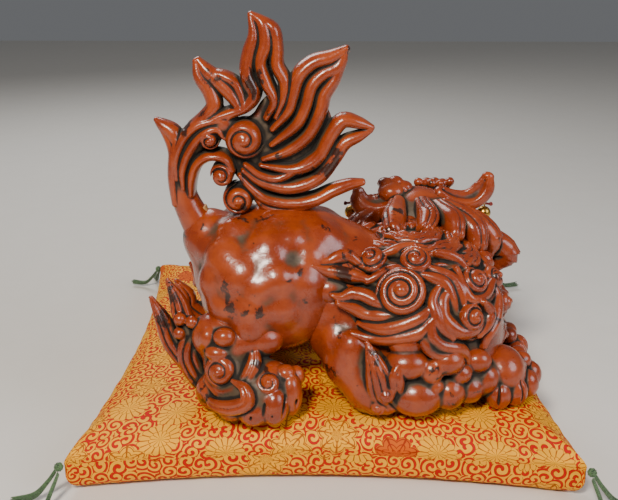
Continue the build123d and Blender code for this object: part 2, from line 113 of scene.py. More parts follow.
class Clay:
    """A block of clay: signed distances on a grid, negative inside."""

    def __init__(self, low, high, voxel):
        self.voxel = voxel
        self.high = np.array(high, float)
        counts = np.ceil((self.high - np.array(low, float)) / voxel).astype(int) + 1
        self.low = self.high - (counts - 1) * voxel
        self.field = np.full(counts, FAR, np.float32)

    def window(self, low, high):
        """The part of the grid between two corners, and its coordinates."""
        a = np.floor((np.asarray(low, float) - self.low) / self.voxel).astype(int)
        b = np.ceil((np.asarray(high, float) - self.low) / self.voxel).astype(int) + 1
        a = np.clip(a, 0, self.field.shape)
        b = np.clip(b, 0, self.field.shape)
        part = tuple(slice(int(i), int(j)) for i, j in zip(a, b))
        axes = []
        for i in range(3):
            line = self.low[i] + self.voxel * np.arange(a[i], b[i])
            shape = [1, 1, 1]
            shape[i] = -1
            axes.append(line.astype(np.float32).reshape(shape))
        return part, axes

    def join(self, part, distance, blend, cut=False):
        if self.field[part].size == 0:
            return
        if cut:
            self.field[part] = -smooth_min(-self.field[part], distance, blend)
        else:
            self.field[part] = smooth_min(self.field[part], distance, blend)

    def ball(self, centre, half, blend=5.0, cut=False):
        """An ellipsoid; half is one radius or three half lengths."""
        c = np.asarray(centre, float)
        r = np.ones(3) * np.asarray(half, float)
        part, (x, y, z) = self.window(c - r - FAR, c + r + FAR)
        x, y, z = x - c[0], y - c[1], z - c[2]
        q = np.sqrt((x / r[0]) ** 2 + (y / r[1]) ** 2 + (z / r[2]) ** 2)
        g = np.sqrt((x / r[0] ** 2) ** 2 + (y / r[1] ** 2) ** 2 + (z / r[2] ** 2) ** 2)
        self.join(part, q * (q - 1) / np.maximum(g, 1e-6), blend, cut)

    def lock(self, points, wide, deep, facing, strands=0, groove=1.6, blend=2.0, cut=False):
        """A flame tongue or lock of hair, oval in section, with strands cut along it."""
        sizes = np.column_stack([points, wide, deep])
        if np.ndim(facing) == 1:
            facing = [facing] * len(points)
        line = spline(np.column_stack([sizes, facing]), 5)
        reach = line[:, 3:5].max() + FAR * 0.8
        part, (x, y, z) = self.window(line[:, :3].min(0) - reach, line[:, :3].max(0) + reach)
        if self.field[part].size == 0:
            return
        best = np.full(self.field[part].shape, 1e9, np.float32)
        u = np.zeros_like(best)
        v = np.zeros_like(best)
        w = np.ones_like(best)
        d = np.ones_like(best)
        over = np.zeros_like(best)
        last = len(line) - 2
        for i in range(len(line) - 1):
            a, b = line[i], line[i + 1]
            run = b[:3] - a[:3]
            length = max(np.linalg.norm(run), 1e-6)
            along = run / length
            face = unit(a[5:8] + b[5:8])
            face = unit(face - along * (face @ along))
            side = np.cross(along, face)
            px, py, pz = x - a[0], y - a[1], z - a[2]
            raw = (px * along[0] + py * along[1] + pz * along[2]) / length
            t = np.clip(raw, 0, 1)
            past = np.zeros_like(t)
            if i == 0:
                past = np.maximum(-raw, 0) * length
            if i == last:
                past = past + np.maximum(raw - 1, 0) * length
            qx, qy, qz = px - run[0] * t, py - run[1] * t, pz - run[2] * t
            near = qx * qx + qy * qy + qz * qz
            pick = near < best
            best = np.where(pick, near, best)
            u = np.where(pick, qx * side[0] + qy * side[1] + qz * side[2], u)
            v = np.where(pick, qx * face[0] + qy * face[1] + qz * face[2], v)
            w = np.where(pick, a[3] + (b[3] - a[3]) * t, w)
            d = np.where(pick, a[4] + (b[4] - a[4]) * t, d)
            over = np.where(pick, past, over)
        q = np.sqrt((u / w) ** 2 + (v / d) ** 2 + (over / np.minimum(w, d)) ** 2)
        g = np.sqrt((u / w ** 2) ** 2 + (v / d ** 2) ** 2 + (over / np.minimum(w, d) ** 2) ** 2)
        far = q * (q - 1) / np.maximum(g, 1e-6)
        if strands:
            valley = 1 - np.abs(np.sin(0.5 * math.pi * strands * (u / w + 1)))
            far = far + groove * valley ** 1.5 * np.clip(w / 5, 0.2, 1)
        self.join(part, far, blend, cut)

    def curl(self, centre, radius, height, facing, turns=2.2, hand=1, start=0.0, groove=2.2,
             blend=2.0):
        """A snail-shell boss: a dome with a spiral cut into it and a bead at its middle."""
        c = np.asarray(centre, float)
        face = unit(facing)
        across = unit(np.cross(face, (0.3, 0.1, 1.0)))
        up = np.cross(face, across)
        reach = max(radius, height) + FAR * 0.8
        part, (x, y, z) = self.window(c - reach, c + reach)
        if self.field[part].size == 0:
            return
        x, y, z = x - c[0], y - c[1], z - c[2]
        a = x * across[0] + y * across[1] + z * across[2]
        b = x * up[0] + y * up[1] + z * up[2]
        w = x * face[0] + y * face[1] + z * face[2]
        rho = np.sqrt(a * a + b * b)
        q = np.sqrt((rho / radius) ** 2 + (w / height) ** 2)
        g = np.sqrt((rho / radius ** 2) ** 2 + (w / height ** 2) ** 2)
        far = q * (q - 1) / np.maximum(g, 1e-6)
        turn = hand * np.arctan2(b, a) / (2 * math.pi) + start
        phase = rho / radius * turns - turn
        valley = (1 - np.abs(np.sin(math.pi * phase))) ** 1.6
        inner = np.clip(rho / radius * 4 - 0.5, 0, 1)
        far = far + groove * valley * inner
        bead = np.sqrt(rho ** 2 + (w - height * 0.86) ** 2) - radius * 0.24
        self.join(part, smooth_min(far, bead, 1.0), blend)

    def flatten_below(self, level):
        """Flat soles."""
        heights = self.low[2] + self.voxel * np.arange(self.field.shape[2])
        self.field = np.maximum(self.field, (level - heights).astype(np.float32))

    def mirror_body(self):
        """Adds the other half beyond the lion's centre plane, where this block ends."""
        self.field = np.concatenate([self.field, self.field[:, -2::-1, :]], axis=1)
        self.high[1] = self.low[1] + (self.field.shape[1] - 1) * self.voxel

    def blurred(self, radius):
        """The field averaged over a cube of that radius, twice."""
        soft = np.clip(self.field, -4, 4)
        n = max(1, int(round(radius / self.voxel)))
        for _ in range(2):
            for axis in range(3):
                pad = [(0, 0)] * 3
                pad[axis] = (n + 1, n)
                run = np.cumsum(np.pad(soft, pad, mode="edge"), axis=axis, dtype=np.float32)
                size = soft.shape[axis]
                high = np.take(run, np.arange(2 * n + 1, 2 * n + 1 + size), axis=axis)
                low = np.take(run, np.arange(0, size), axis=axis)
                soft = (high - low) / (2 * n + 1)
        return soft

    def sample(self, values, points):
        """Values of a grid at points given in grid steps."""
        p = np.clip(points, 0, np.array(values.shape) - 1.001)
        i = p.astype(int)
        f = p - i
        out = np.zeros(len(p))
        for dx in (0, 1):
            for dy in (0, 1):
                for dz in (0, 1):
                    part = np.abs(1 - dx - f[:, 0]) * np.abs(1 - dy - f[:, 1])
                    part = part * np.abs(1 - dz - f[:, 2])
                    out += part * values[i[:, 0] + dx, i[:, 1] + dy, i[:, 2] + dz]
        return out

    def mesh(self, name, mirrored=False):
        """The skin of the clay as a Blender object, with how hollow each point lies."""
        grid = openvdb.FloatGrid(FAR)
        grid.copyFromArray(np.ascontiguousarray(self.field, dtype=np.float32))
        points, triangles, quads = grid.convertToPolygons(isovalue=0.0, adaptivity=0.0)
        fine = -self.sample(self.blurred(1.8), points)
        broad = -self.sample(self.blurred(5.0), points)
        places = self.low + points * self.voxel
        if mirrored:
            places[:, 1] = 2 * BODY_LINE - places[:, 1]
        places[:, 2] += SOLE_Z / MM
        data = bpy.data.meshes.new(name)
        faces = [tuple(q) for q in quads.tolist()] + [tuple(t) for t in triangles.tolist()]
        data.from_pydata((places * MM).tolist(), [], faces)
        corners = places[quads[:, [0, 1, 2]]]
        spin = np.cross(corners[:, 1] - corners[:, 0], corners[:, 2] - corners[:, 0])
        if np.sum(spin * (corners[:, 0] - places.mean(0))) < 0:
            data.flip_normals()
        for label, values in (("hollow_fine", fine), ("hollow_broad", broad)):
            layer = data.attributes.new(label, "FLOAT", "POINT")
            layer.data.foreach_set("value", values.astype(np.float32))
        data.polygons.foreach_set("use_smooth", [True] * len(data.polygons))
        piece = bpy.data.objects.new(name, data)
        bpy.context.scene.collection.objects.link(piece)
        return piece


# ---------------------------------------------------------------- the carving itself
AWAY = (0, -1, 0)                             # faces away from the centre plane, near side
SIDE = (0, 1, 0)


def dome_normal(p):
    """Outward direction of the mane's dome at a place on it."""
    x, y, z = p
    return unit(((x - 76) / 84 ** 2, (y + 90) / 80 ** 2, (z - 62) / 80 ** 2))


def on_dome(clay, points, wide, deep, strands, groove=1.6, sink=0.3, blend=1.6):
    """A lock laid along the mane's dome, its lower part sunk in."""
    faces = [dome_normal(p) for p in points]
    sunk = [np.array(p) - f * h * sink for p, f, h in zip(points, faces, deep)]
    clay.lock(sunk, wide, deep, faces, strands, groove, blend)


def carve_rear(voxel):
    clay = Clay((-124, BODY_LINE - 82, 30), (70, BODY_LINE, 166), voxel)
    clay.ball((-46, -90, 100), (70, 60, 59), 0)
    clay.ball((-28, -90, 112), (66, 47, 46), 10)
    clay.ball((14, -90, 96), (56, 50, 44), 12)
    clay.ball((-100, -90, 130), (24, 26, 26), 10)
    clay.ball((-48, -124, 90), (57, 34, 50), 8)
    # rounded muscles of the rump and thigh: the top of each, its outward direction, its radius
    for top, out, r in [
        ((-70, -152, 123), (-0.1, -0.85, 0.5), 27), ((-37, -156, 117), (0.2, -0.9, 0.3), 18),
        ((-60, -162, 90), (0, -1, 0.1), 22), ((-89, -138, 134), (-0.5, -0.6, 0.6), 20),
        ((-50, -134, 145), (-0.1, -0.5, 0.85), 22), ((-27, -128, 147), (0.1, -0.5, 0.85), 13),
        ((-99, -140, 109), (-0.7, -0.7, 0.2), 16), ((-34, -158, 88), (0.3, -0.9, -0.1), 17),
        ((-85, -152, 88), (-0.3, -0.95, 0), 17), ((-11, -134, 133), (0.2, -0.7, 0.6), 14),
        ((-2, -116, 147), (0.2, -0.4, 0.9), 18), ((-54, -158, 108), (0, -1, 0.1), 11),
        ((-79, -118, 151), (-0.3, -0.4, 0.9), 16), ((-14, -148, 108), (0.3, -0.9, 0.1), 16),
        ((-62, -164, 70), (0, -1, -0.2), 14), ((-104, -116, 128), (-0.9, -0.4, 0.2), 14),
    ]:
        centre = np.array(top) - unit(out) * (r - 3.0)
        clay.ball(centre, r, 7.0)
    clay.ball((-24, -150, 134), (8, 9, 8), 6, cut=True)
    clay.mirror_body()
    return clay


def carve_hind_leg(voxel, tuft=1.0):
    """The hind leg; tuft scales how far the flames behind the hock rise."""
    clay = Clay((-156, -210, -6), (2, -112, 118), voxel)
    for centre, half, k in [
        ((-92, -144, 62), 20, 0), ((-74, -148, 60), (22, 20, 18), 6), ((-60, -150, 62), (26, 16, 16), 6),
        ((-80, -152, 40), (22, 21, 22), 7), ((-66, -160, 24), 23, 7), ((-48, -164, 24), (24, 22, 24), 6),
        ((-92, -156, 16), (17, 16, 17), 6),
        ((-96, -158, 66), (8, 8, 10), 2), ((-82, -164, 70), (9, 8, 8), 2),
        ((-88, -166, 57), (10, 8, 7), 2),
    ]:
        clay.ball(centre, half, k)
    # a rounded paw with shell-like toes, the claws cut between
    clay.ball((-56, -172, 20), (27, 20, 20), 6)
    for centre, half in [((-76, -174, 14), (14, 15, 14)), ((-58, -182, 14), (14, 14, 14)),
                         ((-41, -182, 17), (12, 13, 17)), ((-28, -172, 22), (10, 12, 19))]:
        clay.ball(centre, half, 2.5)
    for line in [[(-51, -202, 0), (-50, -198, 12), (-48, -191, 24)],
                 [(-34, -200, 2), (-33, -194, 14), (-32, -184, 28)],
                 [(-43, -202, -2), (-42, -199, 8), (-42, -194, 15)],
                 [(-26, -190, 4), (-23, -186, 14), (-23, -178, 24)],
                 [(-60, -202, -2), (-60, -199, 8), (-59, -194, 14)]]:
        clay.lock(line, [1.8, 1.5, 0.8], [5, 4, 1.5], (0, -1, 0.2), blend=1.2, cut=True)
    clay.lock([(-96, -166, 14), (-88, -180, 16), (-74, -190, 20), (-62, -194, 28), (-64, -190, 38),
               (-74, -182, 40)],
              [3, 6, 7.5, 7, 5, 2], [5, 7, 8, 8, 6, 3], (-0.2, -0.9, 0.4), 2, 1.6, 1.0)
    clay.curl((-84, -168, 42), 15, 12, (-0.25, -0.93, 0.25), 2.2, 1, 0.3, 2.0)
    clay.lock([(-98, -160, 30), (-84, -173, 24), (-68, -176, 32), (-58, -170, 48), (-58, -160, 60)],
              [3, 6, 7, 7, 4], [5, 7, 7, 6, 4], (-0.2, -0.9, 0.3), 2, 1.2)
    clay.curl((-46, -178, 35), 11, 9, (0.1, -0.75, 0.65), 1.8, -1, 0.1, 2.0, 1.0)
    clay.ball((-32, -168, 40), (8, 8, 7), 1.5)
    clay.ball((-24, -162, 34), (8, 8, 9), 1.5)
    # flame tuft behind the hock, with its three berries
    for line, wide, deep in [
        ([(-104, -138, 44), (-112, -138, 60), (-120, -136, 76), (-124, -134, 90), (-132, -132, 107)],
         [9, 10, 10, 8, 2.4], [9, 9, 8, 6, 2]),
        ([(-102, -140, 22), (-116, -138, 34), (-130, -136, 52), (-137, -134, 70), (-147, -132, 91)],
         [9, 11, 10, 8, 2.4], [9, 10, 9, 7, 2]),
        ([(-98, -142, 10), (-110, -142, 26), (-116, -142, 44), (-112, -140, 60), (-104, -138, 72)],
         [10, 11, 11, 9, 5], [9, 10, 10, 8, 6]),
    ]:
        foot = line[0][2]
        raised = [(x if z < 60 else x + (1 - tuft) * 20, y, foot + (z - foot) * tuft) for x, y,
                  z in line]
        clay.lock(raised, wide, deep, SIDE, 3, 2.6, 1.2)
    for berry in [(-121, -145, 77), (-111, -146, 75), (-122, -145, 64)]:
        clay.ball(berry, 5.4, 0.8)
    clay.flatten_below(0.0)
    return clay


def carve_front(voxel):
    clay = Clay((-30, BODY_LINE - 88, -4), (168, BODY_LINE, 152), voxel)
    clay.ball((76, -90, 62), (80, 73, 74), 0)
    clay.ball((118, -90, 44), (42, 64, 52), 8)
    clay.ball((30, -90, 80), (40, 58, 46), 10)
    clay.ball((4, -128, 100), (20, 18, 15), 4)
    # combed hair under everything: short locks that all flow back towards the tail
    for row in range(6):
        for column in range(12):
            round_x = math.radians(14 + 14 * column + 7 * (row % 2))
            lift = math.radians(6 + 14 * row)
            line = []
            for step in range(4):
                a = round_x + math.radians((1.5 - step) * 8) / max(math.cos(lift), 0.35)
                e = lift + math.radians((0, 2, 1, 5)[step] + 3 * math.sin(column * 2.1 + row))
                line.append((76 + 80 * math.cos(e) * -math.cos(a), -90 - 74 * math.cos(e) * math.sin(a),
                             62 + 75 * math.sin(e)))
            on_dome(clay, line, [4, 6.5, 6, 1.5], [6, 8, 7, 3], 2, 2.4, 0.35, 1.0)
    # snail curls, each by the top of its boss
    curls = []
    for top, r, h, turns, hand, start in [
        ((38, -127, 126), 13, 9, 2.2, 1, 0.2), ((73, -138, 130), 14, 9, 2.3, 1, 0.0),
        ((61, -158, 109), 21, 12, 3.0, 1, 0.5), ((125, -139, 112), 12, 9, 1.9, -1, 0.3),
        ((120, -160, 87), 12, 10, 1.9, -1, 0.1), ((146, -112, 104), 11, 8, 1.8, 1, 0.4),
    ]:
        face = dome_normal(top)
        curls.append((np.array(top) - face * h * 0.35, r, h, face, turns, hand, start, 3.0, 0.8))
    # locks that flow from them, each strand by the line of its crest
    for line, wide in [
        ([(-14, -141, 125), (-5, -139, 121), (8, -139, 119), (20, -139, 116), (32, -141, 114)],
         [1.8, 4.5, 6.5, 6.5, 4]),
        ([(-10, -138, 125), (0, -134, 126), (8, -131, 130), (17, -128, 130), (29, -131, 122)],
         [1.8, 4.5, 5.5, 6, 4]),
        ([(3, -153, 104), (11, -153, 102), (19, -151, 104), (28, -152, 104), (39, -157, 101),
          (49, -161, 96)],
         [2, 4.5, 6.5, 6.5, 6.5, 4]),
        ([(8, -156, 98), (20, -156, 94), (33, -158, 89), (45, -163, 90), (57, -165, 92)],
         [2.2, 5.5, 6.5, 6.5, 3]),
        ([(26, -156, 80), (36, -162, 79), (48, -168, 80), (63, -170, 85), (78, -168, 92),
          (88, -163, 100)],
         [2.2, 5.5, 7, 7.5, 7.5, 4]),
        ([(20, -160, 73), (37, -164, 69), (57, -171, 73), (75, -173, 79), (84, -171, 88)],
         [2, 5.5, 7, 7.5, 4]),
        ([(86, -170, 90), (86, -174, 77), (94, -174, 68), (108, -170, 63), (117, -164, 54),
          (120, -162, 43)],
         [4, 6.5, 6.5, 6.5, 5.5, 2]),
        ([(81, -170, 82), (82, -175, 70), (90, -175, 61), (103, -173, 57), (112, -168, 49),
          (112, -167, 40)],
         [3, 6, 6, 6, 5, 2]),
        ([(101, -152, 111), (95, -161, 101), (97, -167, 89), (110, -168, 78), (124, -160, 77),
          (133, -148, 85)],
         [4, 7.5, 7.5, 7.5, 6.5, 3]),
        ([(94, -152, 114), (87, -161, 104), (89, -168, 94), (94, -170, 83), (104, -170, 73)],
         [3, 5.5, 6.5, 6.5, 3]),
        ([(76, -148, 121), (88, -150, 119), (98, -152, 114), (104, -156, 101), (108, -160, 88)],
         [3, 5.5, 6.5, 6.5, 3]),
        ([(81, -142, 125), (93, -144, 122), (105, -146, 116), (112, -152, 106), (114, -157, 95)],
         [3, 5.5, 6.5, 6.5, 3]),
        ([(33, -143, 112), (43, -141, 117), (55, -142, 124), (66, -146, 124)], [3, 5, 4.5, 3]),
        ([(109, -138, 122), (114, -149, 109), (122, -152, 100), (136, -138, 100), (143, -124, 106)],
         [3, 5.5, 5.5, 5.5, 3]),
        ([(146, -118, 98), (149, -124, 88), (146, -138, 77), (139, -149, 68), (134, -153, 57)],
         [3, 6.5, 6.5, 6.5, 3]),
        ([(131, -152, 98), (138, -148, 88), (136, -152, 78), (128, -158, 70)], [3, 6, 6, 3]),
        ([(48, -126, 131), (56, -124, 134), (64, -122, 136), (74, -121, 137)], [3, 5, 5, 3]),
        ([(92, -128, 133), (102, -126, 131), (112, -126, 126), (118, -130, 120)], [3, 5.5, 5.5, 3]),
    ]:
        deep = [max(w * 1.3, 4) for w in wide]
        faces = [dome_normal(p) for p in line]
        sunk = [np.array(p) - f * d * 0.75 for p, f, d in zip(line, faces, deep)]
        clay.lock(sunk, wide, deep, faces, 0, 0, 0.9)
    for boss in curls:
        clay.curl(*boss)
    # breast curls below the chin, same on both sides
    for x, y, z, r in [(152, -106, 48, 12), (156, -98, 74, 11), (146, -122, 32, 12)]:
        clay.curl((x, y, z), r, r * 0.8, dome_normal((x, y, z)), 1.9, 1, 0.2)
    clay.flatten_below(0.0)
    clay.mirror_body()
    # the neck leaves the centre plane towards the turned head: a wider block of clay
    low, high = clay.low.copy(), clay.high.copy()
    whole = Clay(low, (high[0], 34, high[2]), voxel)
    shift = np.round((clay.low - whole.low) / voxel).astype(int)
    whole.low = clay.low - shift * voxel
    n = clay.field.shape
    fit = np.minimum(np.array(n), np.array(whole.field.shape) - shift)
    area = tuple(slice(int(s), int(s + f)) for s, f in zip(shift, fit))
    whole.field[area] = clay.field[tuple(slice(0, int(f)) for f in fit)]
    whole.ball((88, -50, 98), (44, 40, 38), 8)
    for x, y, z in [(40, -44, 96), (136, -44, 96), (50, -22, 72), (126, -22, 72)]:
        whole.curl((x, y, z), 15, 12, (x - 88, y + 60, 10), 2.0, 1, 0.2)
    whole.flatten_below(0.0)
    return whole


def carve_foreleg(voxel):
    clay = Clay((-26, -204, -6), (200, -84, 112), voxel)
    for centre, half, k in [
        ((16, -126, 62), (32, 26, 36), 0), ((8, -130, 86), (22, 14, 15), 8),
        ((26, -146, 42), (27, 25, 30), 10),
        ((8, -146, 60), (10, 10, 12), 6), ((22, -158, 58), (11, 9, 13), 6),
        ((14, -152, 40), (12, 11, 12), 6),
        ((40, -156, 24), (24, 24, 26), 8), ((70, -150, 26), (34, 24, 28), 6),
        ((110, -146, 26), (34, 18, 26), 6),
        ((66, -162, 66), (15, 12, 11), 3), ((67, -169, 50), (18, 14, 13), 3),
        ((87, -171, 44), (10, 10, 11), 3),
        ((100, -167, 52), (14, 12, 12), 3), ((76, -168, 21), (23, 19, 18), 3.5),
        ((103, -165, 22), (14, 15, 15), 3), ((112, -163, 39), (10, 10, 9), 3),
        ((127, -155, 46), (12, 10, 10), 3), ((121, -157, 21), (13, 12, 13), 3),
        ((136, -149, 26), (12, 13, 14), 3), ((50, -168, 14), (13, 12, 11), 3),
        ((90, -172, 32), (8, 8, 7), 2),
        ((152, -132, 24), (22, 24, 23), 3),
    ]:
        clay.ball(centre, half, k)
    for x, y, z in [(148, -152, 12), (163, -146, 12), (176, -132, 12), (182, -116, 12), (178, -102, 12)]:
        clay.ball((x, y, z), (11, 11, 13), 1.2)
        ax, ay = unit((x - 152, y + 128, 0))[:2]
        clay.ball((x - ax * 9, y - ay * 9, z + 16), (8, 8, 8), 1.2)
        clay.lock([(x + ax * 12, y + ay * 12, 0), (x + ax * 10, y + ay * 10, z + 4),
                   (x + ax * 4, y + ay * 4, z + 13)],
                  [2, 1.4, 0.5], [3, 2.4, 1], (ax, ay, 0.2), blend=1, cut=True)
    # flame tuft at the elbow, with two small curls below
    for line, wide, deep, n in [
        ([(56, -172, 16), (48, -175, 28), (44, -176, 42), (40, -174, 54), (34, -169, 69)],
         [10, 13, 12, 8, 2.2], [8, 9, 8, 6, 2], 4),
        ([(60, -174, 26), (58, -178, 38), (58, -178, 48), (63, -174, 56)], [6, 8, 6, 2], [6, 8, 6, 2],
         2),
        ([(40, -168, 8), (30, -168, 20), (26, -166, 34), (22, -164, 46)], [6, 7, 6, 1.5], [7, 7, 6, 2],
         2),
    ]:
        clay.lock(line, wide, deep, AWAY, n, 1.6, 1.6)
    clay.curl((50, -181, 28), 8, 6, (-0.1, -0.95, 0.2), 1.8, 1, 0.2, 1.6)
    clay.curl((44, -177, 14), 7, 6, (-0.2, -0.95, 0.1), 1.6, -1, 0.4, 1.4)
    clay.flatten_below(0.0)
    return clay


def carve_tail(voxel):
    clay = Clay((-152, BODY_LINE - 28, 118), (46, BODY_LINE, 326), voxel)
    clay.ball((-46, -90, 206), (36, 8, 36), 0)
    clay.ball((-28, -90, 226), (34, 6, 36), 3)
    clay.lock([(-100, -90, 124), (-113, -90, 148), (-121, -90, 168), (-123, -90, 188), (-116, -90, 208),
               (-102, -90, 224), (-84, -90, 232)],
              [17, 13.5, 11.5, 11, 11, 11, 12], [17, 14, 12, 11, 12, 13, 14], SIDE, 0, 0, 4)
    # each flame is a bundle of single strands, (x, z) from its tip to its root
    for line, wide, deep in [
        ([(-61, 319), (-58, 303), (-62, 288), (-64, 273), (-58, 258), (-65, 246), (-82, 238)],
         [2, 5, 6.5, 6.5, 6, 5, 3], [3, 8, 10, 12, 13, 13, 12]),
        ([(-60, 319), (-51, 311), (-49, 296), (-53, 281), (-48, 265), (-42, 251), (-49, 237)],
         [2, 5.5, 7, 6, 6, 5, 3], [3, 8, 10, 12, 14, 14, 12]),
        ([(-58, 318), (-43, 308), (-40, 293), (-40, 279), (-34, 267), (-35, 253), (-41, 238)],
         [2, 5, 5.5, 6, 6, 5, 3], [3, 8, 9, 11, 12, 13, 11]),
        ([(-67, 278), (-66, 265), (-61, 255), (-72, 244), (-90, 237), (-103, 230)],
         [2, 4, 5, 5, 5, 3], [8, 9, 11, 12, 13, 12]),
        ([(16, 292), (3, 285), (-11, 281), (-22, 271), (-27, 255), (-31, 243), (-44, 228)],
         [3, 6, 6.5, 7, 6.5, 6, 3], [4, 8, 10, 12, 13, 13, 12]),
        ([(15, 290), (9, 278), (-3, 272), (-12, 263), (-17, 246), (-25, 231), (-45, 215)],
         [3, 6, 6.5, 6.5, 6.5, 6, 3], [4, 7, 9, 11, 13, 14, 12]),
        ([(14, 283), (6, 267), (-2, 255), (-5, 243), (-14, 224), (-31, 210), (-52, 203)],
         [3, 5.5, 6.5, 6.5, 6.5, 6, 3], [4, 8, 10, 12, 13, 13, 12]),
        ([(38, 228), (27, 232), (14, 234), (4, 223), (-7, 203), (-27, 194), (-54, 198)],
         [2.5, 5, 6.5, 7, 7, 6, 3], [3, 7, 9, 11, 13, 13, 12]),
        ([(37, 226), (27, 221), (15, 215), (6, 202), (-7, 186), (-30, 178), (-54, 183), (-69, 193)],
         [2.5, 5, 6.5, 7, 7, 7, 6, 3], [3, 7, 9, 11, 13, 13, 12, 11]),
        ([(-7, 210), (-17, 200), (-38, 187), (-54, 189), (-67, 198)],
         [2, 4.5, 5.5, 5, 3], [9, 11, 13, 13, 12]),
        ([(31, 181), (20, 179), (6, 174), (-11, 166), (-31, 164), (-51, 168), (-64, 179), (-72, 189)],
         [3, 5, 6, 6.5, 6.5, 6, 5, 3], [3, 6, 9, 11, 12, 12, 12, 11]),
        ([(3, 172), (-12, 163), (-32, 158), (-50, 160), (-61, 171)],
         [2, 4, 5, 5, 3], [6, 9, 10, 10, 9]),
        ([(-104, 283), (-97, 274), (-87, 265), (-77, 255), (-72, 245), (-80, 237)],
         [2.5, 6, 7, 6.5, 5, 3], [3, 7, 9, 11, 12, 12]),
        ([(-106, 282), (-103, 269), (-95, 258), (-92, 246), (-100, 237), (-111, 230)],
         [2.5, 5.5, 7, 7, 6, 4], [3, 7, 9, 11, 12, 12]),
        ([(-99, 274), (-85, 271), (-74, 265), (-69, 255), (-67, 244)],
         [2, 4.5, 5, 5, 3], [4, 8, 10, 11, 12]),
        ([(-141, 234), (-136, 230), (-127, 223), (-123, 212)],
         [2.2, 5, 7, 6], [3, 6, 9, 10]),
        ([(-140, 231), (-133, 221), (-128, 210), (-127, 196)],
         [1.6, 3.5, 5, 5], [3, 6, 9, 10]),
        ([(-125, 185), (-125, 202), (-118, 219), (-107, 230), (-91, 235), (-81, 234)],
         [3, 5, 5.5, 5.5, 5, 3], [11, 13, 14, 14, 13, 12]),
        ([(-120, 177), (-120, 193), (-113, 210), (-101, 224), (-90, 228), (-84, 221)],
         [3, 5, 5.5, 5.5, 5, 3], [11, 13, 14, 15, 14, 12]),
        ([(-114, 171), (-113, 185), (-108, 198), (-97, 205), (-84, 203), (-78, 193)],
         [3, 4.5, 5, 5, 5, 3], [11, 13, 14, 14, 14, 12]),
        ([(-128, 163), (-129, 185), (-127, 205), (-124, 219)],
         [4, 5, 5, 3], [10, 12, 12, 10]),
    ]:
        path = [(x, BODY_LINE - 1.5, z) for x, z in line]
        clay.lock(path, wide, deep, SIDE, 0, 0, 0.8)
    for (x, z), r, h, turns, hand, start in [
        ((-67, 220), 17, 17, 1.9, 1, 0.1), ((-96, 219), 8.5, 13, 1.5, 1, 0.6),
        ((-87, 189), 10.5, 15, 1.6, 1, 0.2), ((-74, 168), 13.5, 14, 2.0, -1, 0.5),
    ]:
        clay.curl((x, BODY_LINE - 6, z), r, h, AWAY, turns, hand, start, 3.0, 0.8)
    clay.mirror_body()
    return clay


